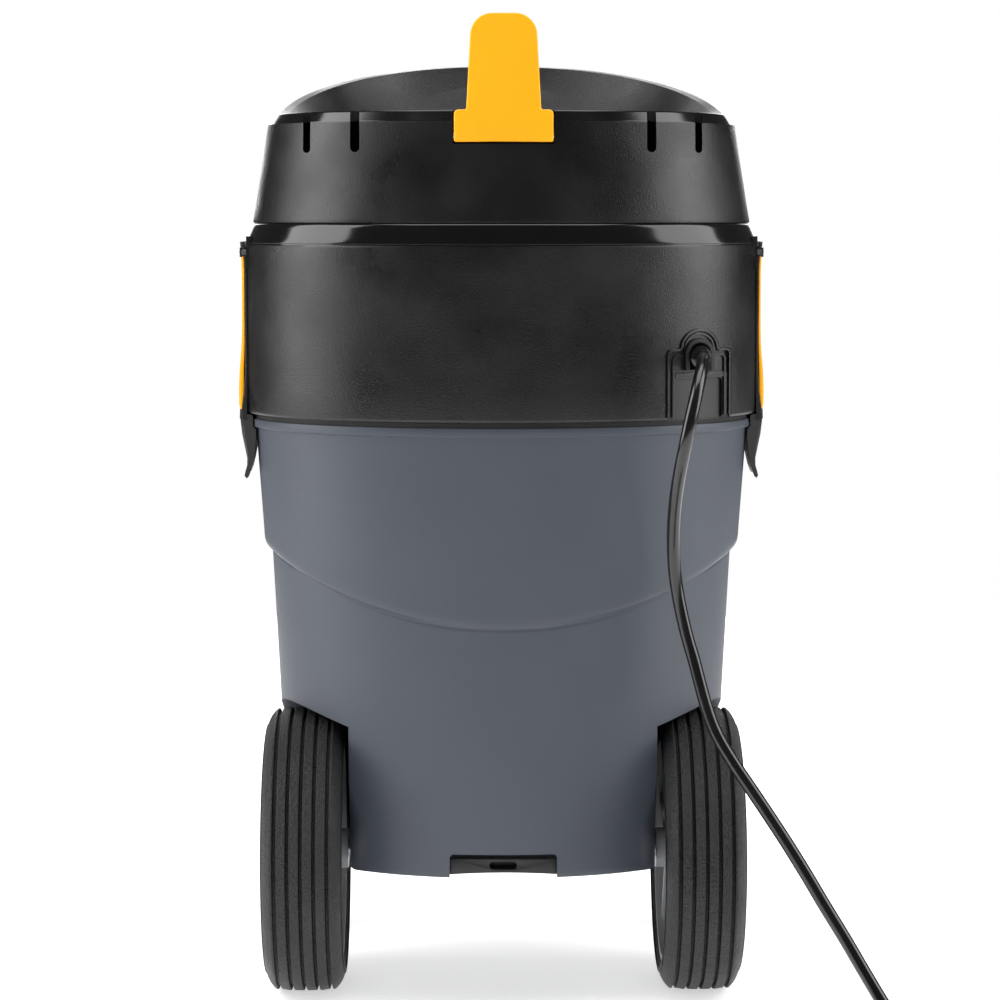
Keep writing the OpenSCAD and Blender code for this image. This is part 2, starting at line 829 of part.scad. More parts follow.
module latch(s) {
  color([0.06, 0.06, 0.06])
    mirror([s > 0 ? 0 : 1, 0, 0])
      difference() {
        union() {
          latch_blank(inlay_out, tab_in, latch_half, [
            [tab_in - 12, latch_tip + 14], [hw - 1.5, latch_tip + 6], [hw - 3, latch_tip], [hw + 0.5, latch_tip],
            [hw + 3, latch_tip + 10], [hw + 1, latch_tip + 18], [hw + 3.5, latch_tip + 30],
            [inlay_out, tab_top - 18], [inlay_out, tab_top], [tab_in - 12, tab_top]
          ]);
          latch_blank(latch_out, latch_in, latch_half, [
            [hw - 8, tab_top - 3], [hw + 9, tab_top - 3], [hw + 9, pivot_z + 3], [hw - 8, pivot_z + 3]
          ]);
          rod_y([pivot_x, yw - latch_half + 5, pivot_z], knuckle_r, latch_w - 10);
          block(
            [pivot_x, yw - latch_half + 5, pivot_z - knuckle_r],
            [latch_in + 0.6, yw + latch_half - 5, pivot_z + 3]
          );
        }
        rod_y([pivot_x, yw - latch_w, pivot_z], latch_pin_r + RUN, 2 * latch_w);
      }
}

module latch_inlay(s) {
  color([1, 0.69, 0])
    mirror([s > 0 ? 0 : 1, 0, 0])
      latch_blank(inlay_out, latch_out, latch_half - 5, [
        [hw - 8, tab_top], [inlay_out, tab_top], [inlay_out, tab_top + 54], [inlay_out - 1.2, tab_top + 60],
        [inlay_out - 1.2, pivot_z - 8], [hw - 8, pivot_z - 8]
      ]);
}

module latch_pins() {
  color([0.7, 0.7, 0.72])
    both_sides()
      rod_y([pivot_x, yw - latch_half - pin_end, pivot_z], latch_pin_r, latch_w + 2 * pin_end);
}

module control_panel() {
  color([0.17, 0.17, 0.18])
    difference() {
      intersection() {
        slab(hw + 1.5, hw - 6, panel_z - panel_h, 2 * panel_h);
        block([GAP / 4 - panel_w / 2, -front_reach * 2, panel_z - panel_h / 2 + GAP / 4],
              [panel_w / 2 - GAP / 4, 0, panel_z + panel_h / 2 - GAP / 4]);
      }
      rod_y([0, -front_reach * 2, panel_z], 3 + RUN, front_reach * 2);
    }
}

module switch_knob() {
  color([1, 0.69, 0])
    union() {
      rod_y([0, knob_y - 9, panel_z], knob_r, 8.5);
      rod_y([0, knob_y - 10, panel_z], 3, 24);
      block([-3.5, knob_y - 19, panel_z - knob_r + 1], [3.5, knob_y - 8, panel_z + knob_r - 1]);
    }
}

module switch_body() {
  color([0.2, 0.2, 0.21])
    difference() {
      block([-17, knob_y + 11, panel_z - 20], [17, knob_y + 36, panel_z + 20]);
      rod_y([0, knob_y + 10, panel_z], 3 + RUN, 12);
    }
}

// ---- Motor ----

mount_h = 4;
case_z = deck_z + deck_t + mount_h;
case_h = 40;
frame_z = case_z + case_h;
frame_h = 62;
frame_r = turbine_r * 2 / 3;
shaft_r = 5;
bearing_r = 12;

module on_motor(z) {
  translate([0, motor_y, z])
    children();
}

module motor_mount() {
  color([0.09, 0.09, 0.09])
    on_motor(case_z - mount_h)
      difference() {
        cylinder(r = turbine_r - 2, h = mount_h);
        translate([0, 0, -1])
          cylinder(r = neck_r, h = mount_h + 2);
      }
}

module fan_case() {
  color([0.72, 0.72, 0.74])
    on_motor(case_z)
      difference() {
        cylinder(r = turbine_r, h = case_h);
        translate([0, 0, 2.5])
          cylinder(r = turbine_r - 2.5, h = case_h - 5.5);
        translate([0, 0, -1])
          cylinder(r = 24, h = 5);
        translate([0, 0, case_h - 4])
          cylinder(r = bearing_r, h = 5);
        for (a = [0:30:330])
          rotate([0, 0, a])
            block([turbine_r - 8, -6, 12], [turbine_r + 8, 6, 24]);
      }
}

module impeller() {
  color([0.8, 0.8, 0.82])
    on_motor(case_z + 6)
      difference() {
        union() {
          cylinder(r = turbine_r - 10, h = 1.5);
          translate([0, 0, 18.5])
            cylinder(r = turbine_r - 10, h = 1.5);
          for (a = [0:40:320])
            rotate([0, 0, a])
              block([20, -0.8, 1], [turbine_r - 11, 0.8, 19]);
          cylinder(r = 9, h = 20);
        }
        difference() {
          translate([0, 0, -1])
            cylinder(r = 20, h = 3);
          translate([0, 0, -2])
            cylinder(r = 9, h = 5);
        }
        translate([0, 0, -1])
          cylinder(r = shaft_r, h = 30);
      }
}

module motor_frame() {
  color([0.5, 0.5, 0.52])
    on_motor(frame_z)
      difference() {
        cylinder(r = frame_r, h = frame_h);
        translate([0, 0, 6])
          cylinder(r = frame_r - 3, h = frame_h - 12);
        translate([0, 0, -1])
          cylinder(r = bearing_r, h = 5);
        translate([0, 0, -1])
          cylinder(r = bearing_r - 3, h = 9);
        translate([0, 0, frame_h - 4])
          cylinder(r = bearing_r, h = 5);
        translate([0, 0, frame_h - 8])
          cylinder(r = bearing_r - 3, h = 9);
        for (a = [0:60:300])
          rotate([0, 0, a])
            block([frame_r - 8, -8, 46], [frame_r + 8, 8, 54]);
      }
}

module stator() {
  color([0.45, 0.42, 0.4])
    on_motor(frame_z + 10)
      difference() {
        cylinder(r = frame_r - 3, h = 32);
        translate([0, 0, -1])
          cylinder(r = 23.5, h = 34);
      }
}

module rotor() {
  color([0.6, 0.4, 0.25])
    union() {
      on_motor(case_z + 3)
        cylinder(r = shaft_r, h = case_h + frame_h + 14);
      on_motor(frame_z + 9)
        cylinder(r = 22.7, h = 34);
      on_motor(frame_z + 43)
        cylinder(r = 12, h = 10);
    }
}

module bearings() {
  color([0.78, 0.78, 0.8])
    for (z = [frame_z - 4, frame_z + frame_h - 4])
      on_motor(z)
        difference() {
          cylinder(r = bearing_r, h = 8);
          translate([0, 0, -1])
            cylinder(r = shaft_r + RUN, h = 10);
        }
}

module cooling_fan() {
  color([0.15, 0.15, 0.16])
    on_motor(frame_z + frame_h + 6)
      difference() {
        union() {
          cylinder(r = frame_r - 8, h = 1.5);
          cylinder(r = 9, h = 9);
          for (a = [0:45:315])
            rotate([0, 0, a])
              block([8, -0.8, 1], [frame_r - 9, 0.8, 9]);
        }
        translate([0, 0, -1])
          cylinder(r = shaft_r, h = 12);
      }
}

module acoustic_foam() {
  color([0.25, 0.25, 0.26])
    on_motor(deck_z + deck_t)
      difference() {
        cylinder(r = turbine_r + 20, h = 78);
        translate([0, 0, -1])
          cylinder(r = turbine_r + 8, h = 80);
      }
}

// ---- Filter ----

cage_r = neck_r - 3;
cage_low = deck_z - filter_h - 4;
float_r = 17;
float_z = cage_low + 3 + float_r;
float_travel = 60;

module filter_cage() {
  color([0.12, 0.12, 0.13])
    difference() {
      union() {
        on_motor(cage_low)
          cylinder(r = cage_r, h = deck_z + deck_t - cage_low);
        on_motor(cage_low - 24)
          cylinder(r = 5, h = 26);
      }
      on_motor(cage_low + 3)
        cylinder(r = cage_r - 3, h = filter_h + 40);
      for (k = [0:5])
        on_motor(0)
          rotate([0, 0, 60 * k])
            block([cage_r - 12, -15, cage_low + 14], [cage_r + 5, 15, deck_z - 34]);
    }
}

module pleated_filter() {
  pleats = 48;
  color([0.9, 0.9, 0.86])
    on_motor(deck_z - 4 - filter_h + 6)
      linear_extrude(filter_h - 6)
        difference() {
          polygon([
            for (i = [0:2 * pleats - 1])
              let (r = i % 2 == 0 ? filter_r - 1 : filter_r - 13, a = 180 * i / pleats)
              [r * cos(a), r * sin(a)]
          ]);
          circle(r = cage_r + 5);
        }
}

module filter_flange() {
  color([0.15, 0.15, 0.16])
    on_motor(deck_z - 4)
      difference() {
        cylinder(r = filter_r + 5, h = 4);
        translate([0, 0, -1])
          cylinder(r = cage_r, h = 6);
      }
}

module filter_cap() {
  color([0.15, 0.15, 0.16])
    on_motor(cage_low)
      difference() {
        translate([0, 0, -4])
          cylinder(r = filter_r + 1, h = 10);
        cylinder(r = cage_r, h = 11);
        translate([0, 0, -5])
          cylinder(r = 5, h = 10);
      }
}

module filter_nut() {
  color([1, 0.69, 0])
    on_motor(cage_low - 20)
      difference() {
        union() {
          cylinder(r = 13, h = 16);
          block([-26, -4, 0], [26, 4, 12]);
        }
        translate([0, 0, -1])
          cylinder(r = 5, h = 20);
      }
}

module float_ball() {
  color([0.95, 0.95, 0.93])
    on_motor(float_z)
      sphere(r = float_r);
}

// ---- Cord ----

// Moulded insert that fills the outlet's opening
module cable_entry() {
  color([0.09, 0.09, 0.095])
    difference() {
      intersection() {
        union() {
          slab(hw - 1.2, hw - head_wall - 3, deck_z + deck_t + GAP, 80);
          slab(hw - 1.2, hw - head_wall + 0.2, housing_z + GAP, 12);
        }
        outlet_shape(0.3);
      }
      translate([-outlet_x, axle_y + 200, outlet_z])
        rotate([90, 0, 0])
          linear_extrude(260)
            horseshoe(10);
      intersection() {
        slab(hw, hw - 5, housing_z - 5, outlet_z - housing_z - 9);
        block([-outlet_x - 16.5, yw, housing_z - 5], [-outlet_x + 16.5, axle_y + 200, outlet_z - 15]);
      }
    }
}

// Arch with straight legs, the outline of the grommet
module horseshoe(r) {
  translate([0, 2])
    circle(r = r);
  translate([-r, -9])
    square([2 * r, 11]);
}

module cord_grommet() {
  color([0.05, 0.05, 0.05])
    difference() {
      union() {
        translate([-outlet_x, outlet_y, outlet_z])
          rotate([90, 0, 0])
            linear_extrude(26)
              horseshoe(10);
        rod_y([-outlet_x, outlet_y - 1, outlet_z], cord_r + 1.5, 1 + 177 - outlet_y);
      }
      rod_y([-outlet_x, outlet_y - 30, outlet_z], cord_r, 19);
    }
}

function unit(v) = v / norm(v);

// Direction of the route at point i
function along(p, i) = unit(p[min(i + 1, len(p) - 1)] - p[max(i - 1, 0)]);

// Ring frames that carry the first side direction along the route
function carried(p, i, side) =
  i == len(p) ? [] :
  let (d = along(p, i), s = unit(side - (side * d) * d))
  concat([[p[i], s, cross(s, d)]], carried(p, i + 1, s));

module tube(p, r, n) {
  frames = carried(p, 0, [1, 0, 0]);
  loft([for (f = frames) [for (k = [0:n - 1]) f[0] + r * (cos(360 * k / n) * f[1] + sin(360 * k / n) * f[2])]]);
}

module cord_tube() {
  color([0.06, 0.06, 0.065])
    tube(cord_route, cord_r, 10);
}

module cord_coil() {
  color([0.06, 0.06, 0.065])
    translate([coil_at[0], coil_at[1], tie_t])
      rotate_extrude()
        translate([coil_r - coil_wide / 2, 0])
          polygon(concat(
            arc([cord_r, cord_r], cord_r, 180, 270, 4), arc([coil_wide - cord_r, cord_r], cord_r, 270, 360, 4),
            arc([coil_wide - cord_r, coil_high - cord_r], cord_r, 0, 90, 4),
            arc([cord_r, coil_high - cord_r], cord_r, 90, 180, 4)
          ));
}

module coil_tie() {
  color([0.2, 0.2, 0.2])
    translate([coil_at[0] - 5, coil_at[1] - coil_r, 0])
      difference() {
        block([0, -coil_wide / 2 - tie_t, 0], [10, coil_wide / 2 + 0.5 + tie_t, coil_high + 2 * tie_t]);
        block([-1, -coil_wide / 2, tie_t], [11, coil_wide / 2 + 0.5, coil_high + tie_t]);
      }
}

plug_at = [coil_at[0] + 70, coil_at[1] + coil_r + coil_wide / 2, 19];

module plug() {
  color([0.06, 0.06, 0.065])
    translate(plug_at)
      rotate([0, 90, 0])
        rotate_extrude()
          polygon([
            [0, 0], [5.5, 0], [7, 24], [12, 28], [16, 34], [17, 60], [18.5, 64], [18.5, 72], [0, 72]
          ]);
}

module plug_pins() {
  color([0.85, 0.82, 0.7])
    for (s = [-1, 1])
      rod_x(plug_at + [72, s * 9.5, 0], 2.4, 19);
}

tank();
grip_insert();
hose_port();
port_screws();
inlet_deflector();
caster_beam();
beam_screws();
axle();
axle_clips();
tyre(-1);  // tyre_left
tyre(1);  // tyre_right
rim(-1);  // rim_left
rim(1);  // rim_right
hub_cap(-1);  // hub_cap_left
hub_cap(1);  // hub_cap_right
caster_fork(-1);  // caster_fork_left
caster_fork(1);  // caster_fork_right
caster_wheel(-1);  // caster_wheel_left
caster_wheel(1);  // caster_wheel_right
caster_pin(-1);  // caster_pin_left
caster_pin(1);  // caster_pin_right
head_deck();
tank_seal();
head_housing();
deck_screws();
top_cover();
carry_handle();
cord_hook();
hook_pin();
latch(-1);  // latch_left
latch(1);  // latch_right
latch_inlay(-1);  // latch_inlay_left
latch_inlay(1);  // latch_inlay_right
latch_pins();
control_panel();
switch_knob();
switch_body();
motor_mount();
fan_case();
impeller();
motor_frame();
stator();
rotor();
bearings();
cooling_fan();
acoustic_foam();
filter_cage();
pleated_filter();
filter_flange();
filter_cap();
filter_nut();
float_ball();
cable_entry();
cord_grommet();
cord_tube();
cord_coil();
coil_tie();
plug();
plug_pins();
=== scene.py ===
"""Shop vacuum: smooth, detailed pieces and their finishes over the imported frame. Sizes are in millimetres."""

import json
import math

import bmesh
import bpy
import numpy as np
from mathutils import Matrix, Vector


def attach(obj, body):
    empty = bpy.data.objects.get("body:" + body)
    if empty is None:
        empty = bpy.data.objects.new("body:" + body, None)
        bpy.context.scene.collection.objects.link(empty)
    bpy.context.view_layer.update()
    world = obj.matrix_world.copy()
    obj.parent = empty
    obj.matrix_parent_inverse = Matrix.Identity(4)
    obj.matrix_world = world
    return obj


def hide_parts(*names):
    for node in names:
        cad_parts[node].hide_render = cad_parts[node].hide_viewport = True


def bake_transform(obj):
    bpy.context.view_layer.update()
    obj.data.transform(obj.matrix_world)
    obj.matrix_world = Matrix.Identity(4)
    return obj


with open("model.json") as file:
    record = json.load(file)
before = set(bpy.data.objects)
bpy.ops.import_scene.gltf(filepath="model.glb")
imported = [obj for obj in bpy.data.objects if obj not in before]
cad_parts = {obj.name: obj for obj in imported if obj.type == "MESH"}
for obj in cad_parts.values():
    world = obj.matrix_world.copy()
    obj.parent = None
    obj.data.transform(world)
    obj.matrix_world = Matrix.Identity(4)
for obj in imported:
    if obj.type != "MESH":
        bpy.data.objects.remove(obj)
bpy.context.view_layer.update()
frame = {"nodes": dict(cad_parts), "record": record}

MM = 0.001
TURN = 2 * math.pi

# ---- Driving sizes ----

HW = 182.5
REAR = 136.0
FRONT = 215.0
SQUARENESS = 2.1
TANK_TOP = 404.0
TANK_BOTTOM = 93.0
HOUSING_TOP = 542.0
COVER_TOP = 618.0
FRONT_RISE = 44.0
YW = 65.0
AXLE_Y = 107.0
AXLE_Z = 100.0
WHEEL_R = 100.0
WHEEL_IN = 110.5
TYRE_W = 56.0
RISE_START = math.sqrt(0.05) - 0.2
TANK_TOP_A = HW - 7.5
TANK_FOOT_A = TANK_TOP_A - 22
ARC_LOW = 267.0
ARC_RISE = 46.0
ARC_PROUD = 6.5
STEP_OUT = 4.2
BEVEL_A = HW - 6.5
BEVEL_Z = HOUSING_TOP - 13.5
RIM_A = HW - 22
DISH_A = HW - 66
DISH_Z = COVER_TOP - 30
PIVOT_X = HW - 2
PIVOT_Z = BEVEL_Z - 6.5
HOOK_Y = YW + REAR * (RIM_A + 5) / HW - 3.5
HOOK_Z = COVER_TOP - 17.5
OUTLET_X = -134.5
OUTLET_Z = TANK_TOP + 47.5
PORT_Z = 335.0
BOSS_Y = YW - FRONT * TANK_TOP_A / HW + 6
CORD_D = 9.0
CORD_R = CORD_D / 2
WHEEL_GAP = 3.5
WELL_TOP = 0.62
NOTCH_HALF = 37
PORT_BORE_R = 26
AXLE_HOLE_R = 6
VENT_X = 92
VENT_HALF = 22.2
VENT_R = 1.75
VENT_Z = 454
VENT_PITCH = 9
STRIP_HALF = 31
SEAT_HALF = 32
HOOK_FOOT = 33.3
GROMMET_R = 9.0
COIL_AT = (-220.0, 370.0)
COIL_R = 54.0
TIE_T = 1.2
SEGMENTS = 240

# ---- Outlines ----


def spow(value, power):
    return math.copysign(abs(value) ** power, value)


def plan(a, t):
    """Point of the plan outline of half width a at angle t."""
    reach = (REAR if math.sin(t) > 0 else FRONT) * a / HW
    x = a * spow(math.cos(t), 2 / SQUARENESS)
    y = YW + reach * spow(math.sin(t), 2 / SQUARENESS)
    return x, y


def side_x(a, y):
    """Half width of the outline of half width a at a given y."""
    reach = (REAR if y > YW else FRONT) * a / HW
    share = min(1.0, abs(y - YW) / reach)
    return a * (1 - share**SQUARENESS) ** (1 / SQUARENESS)


def rear_y(a, x):
    """Rear y of the outline of half width a at a given x."""
    share = min(1.0, abs(x) / a)
    return YW + REAR * a / HW * (1 - share**SQUARENESS) ** (1 / SQUARENESS)


TURNS = [TURN * i / SEGMENTS for i in range(SEGMENTS)]


def ring(a, z):
    return [(*plan(a, t), z) for t in TURNS]


def low_a(z):
    share = (z - TANK_BOTTOM) / (TANK_TOP - TANK_BOTTOM)
    return TANK_FOOT_A + (TANK_TOP_A - TANK_FOOT_A - ARC_PROUD) * share


def step_ring(up, out, proud):
    """Ring that follows the tank's curved step."""
    points = []
    for t in TURNS:
        z = ARC_LOW + ARC_RISE * math.cos(t) ** 2 + up
        bulge = proud * STEP_OUT * abs(math.cos(t)) ** 0.8
        points.append((*plan(low_a(z) + out + bulge, t), z))
    return points


def between(ring_a, ring_b, share):
    return [tuple(a + share * (b - a) for a, b in zip(p, q)) for p, q in zip(ring_a, ring_b)]


def rim_height(front):
    """Height of the rim where the outline is a given share of the way to the front."""
    u = 1.2 * front - 0.2
    late = (u + math.sqrt(u * u + 0.01) - RISE_START) / (1 + math.sqrt(1.01) - RISE_START)
    return COVER_TOP + FRONT_RISE / 2 * (front + late)


def rim_z(t):
    return rim_height(max(0.0, -spow(math.sin(t), 2 / SQUARENESS)))


def cover_ring(a, share, down):
    """Ring of the cover, a share of the way from its foot to its rim."""
    return [(*plan(a, t), HOUSING_TOP + share * (rim_z(t) - HOUSING_TOP) - down) for t in TURNS]


def bowl_ring(a, share, down):
    """Ring of the dish, a share of the way from its floor to the rim."""
    return [(*plan(a, t), DISH_Z + share * (rim_z(t) - down - DISH_Z)) for t in TURNS]


# ---- Mesh tools ----


def from_bmesh(name, bm, angle):
    bmesh.ops.recalc_face_normals(bm, faces=bm.faces)
    mesh = bpy.data.meshes.new(name)
    bm.to_mesh(mesh)
    bm.free()
    obj = bpy.data.objects.new(name, mesh)
    bpy.context.scene.collection.objects.link(obj)
    soften(obj, angle)
    return obj


def soften(obj, angle=30):
    """Smooth shading with sharp edges above an angle."""
    for face in obj.data.polygons:
        face.use_smooth = True
    obj.data.set_sharp_from_angle(angle=math.radians(angle))


def solid(name, points, faces, angle=30):
    bm = bmesh.new()
    verts = [bm.verts.new([MM * c for c in p]) for p in points]
    for face in faces:
        bm.faces.new([verts[i] for i in face])
    return from_bmesh(name, bm, angle)


def loft(name, rings, closed=False, angle=30):
    """Skin through rings of equal length, capped at both ends or closed on itself."""
    n = len(rings[0])
    m = len(rings)
    faces = []
    for j in range(m if closed else m - 1):
        low = j * n
        up = ((j + 1) % m) * n
        for i in range(n):
            k = (i + 1) % n
            faces.append((low + i, low + k, up + k, up + i))
    if not closed:
        faces.append(tuple(range(n - 1, -1, -1)))
        faces.append(tuple((m - 1) * n + i for i in range(n)))
    return solid(name, [p for r in rings for p in r], faces, angle)


def block(name, low, high):
    x0, y0, z0 = low
    x1, y1, z1 = high
    points = [(x, y, z) for x in (x0, x1) for y in (y0, y1) for z in (z0, z1)]
    faces = [(0, 1, 3, 2), (4, 6, 7, 5), (0, 4, 5, 1), (2, 3, 7, 6), (0, 2, 6, 4), (1, 5, 7, 3)]
    return solid(name, points, faces)


def prism(name, outline, start, end, across="y", angle=30):
    """Flat outline pushed along an axis between two places on it."""
    n = len(outline)
    points = []
    for along in (start, end):
        for u, v in outline:
            if across == "y":
                points.append((u, along, v))
            elif across == "x":
                points.append((along, u, v))
            else:
                points.append((u, v, along))
    faces = [(i, (i + 1) % n, n + (i + 1) % n, n + i) for i in range(n)]
    faces += [tuple(range(n - 1, -1, -1)), tuple(range(n, 2 * n))]
    return solid(name, points, faces, angle)


def revolve(name, profile, centre, axis, steps=128, angle=30):
    """Closed profile of (radius, distance along the axis) turned about an axis from a centre."""
    rings = []
    for k in range(steps):
        c = math.cos(TURN * k / steps)
        s = math.sin(TURN * k / steps)
        turned = []
        for radius, along in profile:
            if axis == "x":
                place = (along, radius * c, radius * s)
            elif axis == "y":
                place = (radius * s, along, radius * c)
            else:
                place = (radius * c, radius * s, along)
            turned.append(tuple(a + b for a, b in zip(centre, place)))
        rings.append(turned)
    return loft(name, rings, closed=True, angle=angle)


def rod(name, centre, axis, radius, start, end, steps=96, edge=0.6):
    """Cylinder with rounded ends."""
    profile = [(0.001, start), (radius - edge, start)]
    profile += [(radius - 0.3 * edge, start + 0.3 * edge), (radius, start + edge)]
    profile += [(radius, end - edge), (radius - 0.3 * edge, end - 0.3 * edge)]
    profile += [(radius - edge, end), (0.001, end)]
    return revolve(name, profile, centre, axis, steps)


def bake(obj, angle=30):
    """Apply the modifiers to the mesh."""
    graph = bpy.context.evaluated_depsgraph_get()
    mesh = bpy.data.meshes.new_from_object(obj.evaluated_get(graph))
    obj.modifiers.clear()
    obj.data = mesh
    soften(obj, angle)
    return obj


def combine(obj, others, operation, angle=30):
    for other in others:
        change = obj.modifiers.new("combine", "BOOLEAN")
        change.operation = operation
        change.solver = "EXACT"
        change.object = other
    bake(obj, angle)
    for other in others:
        bpy.data.objects.remove(other)
    return obj


def cut(obj, *cutters, angle=30):
    return combine(obj, cutters, "DIFFERENCE", angle)


def bevel(obj, width, steps=3, limit=35, angle=30):
    change = obj.modifiers.new("bevel", "BEVEL")
    change.width = width * MM
    change.segments = steps
    change.limit_method = "ANGLE"
    change.angle_limit = math.radians(limit)
    change.use_clamp_overlap = True
    return bake(obj, angle)


def arc(cx, cy, radius, start, end, steps):
    points = []
    for i in range(steps + 1):
        a = math.radians(start + (end - start) * i / steps)
        points.append((cx + radius * math.cos(a), cy + radius * math.sin(a)))
    return points


def circle(cx, cy, radius, steps):
    """Points round a circle."""
    turns = [TURN * k / steps for k in range(steps)]
    return [(cx + radius * math.cos(a), cy + radius * math.sin(a)) for a in turns]


def spline(points, step):
    """Smooth curve through points, resampled to an even step."""
    p = [np.array(q, float) for q in points]
    p = [2 * p[0] - p[1]] + p + [2 * p[-1] - p[-2]]
    dense = []
    for i in range(1, len(p) - 2):
        for k in range(12):
            u = k / 12
            dense.append(
                0.5
                * (
                    2 * p[i]
                    + (p[i + 1] - p[i - 1]) * u
                    + (2 * p[i - 1] - 5 * p[i] + 4 * p[i + 1] - p[i + 2]) * u**2
                    + (3 * p[i] - p[i - 1] - 3 * p[i + 1] + p[i + 2]) * u**3
                )
            )
    dense.append(p[-2])
    dense = np.array(dense)
    far = np.concatenate([[0], np.cumsum(np.linalg.norm(np.diff(dense, axis=0), axis=1))])
    count = max(2, round(far[-1] / step))
    wanted = np.linspace(0, far[-1], count + 1)
    return np.stack([np.interp(wanted, far, dense[:, k]) for k in range(dense.shape[1])], axis=1)


def tube(name, path, radii, sides=16, angle=60):
    """Round tube along a path."""
    path = np.array(path, float)
    along = np.gradient(path, axis=0)
    along /= np.linalg.norm(along, axis=1)[:, None]
    side = np.array([0.0, 0.0, 1.0]) if abs(along[0][2]) < 0.9 else np.array([1.0, 0.0, 0.0])
    rings = []
    for i, (p, d) in enumerate(zip(path, along)):
        side = side - side.dot(d) * d
        side /= np.linalg.norm(side)
        up = np.cross(d, side)
        radius = radii[i] if hasattr(radii, "__len__") else radii
        turned = []
        for k in range(sides):
            a = TURN * k / sides
            turned.append(tuple(p + radius * (math.cos(a) * side + math.sin(a) * up)))
        rings.append(turned)
    return loft(name, rings, angle=angle)


# ---- Finishes ----


def finish(
    name, colour, rough, grain, depth, mottle=0.08, spread=0.06, metallic=0.0, coat=0.0,
    stretch=(1, 1, 1), streak=None, specular=0.5,
):
    """Surface with broad mottling, uneven gloss and a fine grain."""
    mat = bpy.data.materials.new(name)
    mat.use_nodes = True
    nodes = mat.node_tree.nodes
    link = mat.node_tree.links.new
    nodes.clear()
    out = nodes.new("ShaderNodeOutputMaterial")
    shader = nodes.new("ShaderNodeBsdfPrincipled")
    link(shader.outputs["BSDF"], out.inputs["Surface"])
    shader.inputs["Metallic"].default_value = metallic
    shader.inputs["Coat Weight"].default_value = coat
    shader.inputs["Coat Roughness"].default_value = 0.12
    shader.inputs["Specular IOR Level"].default_value = specular
    place = nodes.new("ShaderNodeTexCoord")
    broad = nodes.new("ShaderNodeTexNoise")
    broad.inputs["Scale"].default_value = 14
    broad.inputs["Detail"].default_value = 4
    link(place.outputs["Object"], broad.inputs["Vector"])
    ramp = nodes.new("ShaderNodeValToRGB")
    ramp.color_ramp.elements[0].position = 0.3
    ramp.color_ramp.elements[1].position = 0.7
    ramp.color_ramp.elements[0].color = (*[c * (1 - mottle) for c in colour], 1)
    ramp.color_ramp.elements[1].color = (*[min(1, c * (1 + mottle)) for c in colour], 1)
    link(broad.outputs["Fac"], ramp.inputs["Fac"])
    link(ramp.outputs["Color"], shader.inputs["Base Color"])
    scaled = nodes.new("ShaderNodeMapping")
    scaled.inputs["Scale"].default_value = stretch
    link(place.outputs["Object"], scaled.inputs["Vector"])
    fine = nodes.new("ShaderNodeTexNoise")
    fine.inputs["Scale"].default_value = grain
    fine.inputs["Detail"].default_value = 3
    link(scaled.outputs["Vector"], fine.inputs["Vector"])
    smudge = nodes.new("ShaderNodeTexNoise")
    smudge.inputs["Scale"].default_value = 16
    smudge.inputs["Detail"].default_value = 3
    smudge.inputs["Roughness"].default_value = 0.5
    link(place.outputs["Object"], smudge.inputs["Vector"])
    gloss = nodes.new("ShaderNodeMapRange")
    gloss.inputs["From Min"].default_value = 0.3
    gloss.inputs["From Max"].default_value = 0.7
    gloss.inputs["To Min"].default_value = rough - spread
    gloss.inputs["To Max"].default_value = rough + spread
    link(smudge.outputs["Fac"], gloss.inputs["Value"])
    link(gloss.outputs["Result"], shader.inputs["Roughness"])
    bump = nodes.new("ShaderNodeBump")
    bump.inputs["Strength"].default_value = 1.0
    bump.inputs["Distance"].default_value = depth
    link(fine.outputs["Fac"], bump.inputs["Height"])
    if streak:
        lines = nodes.new("ShaderNodeTexNoise")
        lines.inputs["Scale"].default_value = streak[0]
        lines.inputs["Detail"].default_value = 2
        link(scaled.outputs["Vector"], lines.inputs["Vector"])
        second = nodes.new("ShaderNodeBump")
        second.inputs["Strength"].default_value = 1.0
        second.inputs["Distance"].default_value = streak[1]
        link(lines.outputs["Fac"], second.inputs["Height"])
        link(second.outputs["Normal"], bump.inputs["Normal"])
    link(bump.outputs["Normal"], shader.inputs["Normal"])
    return mat


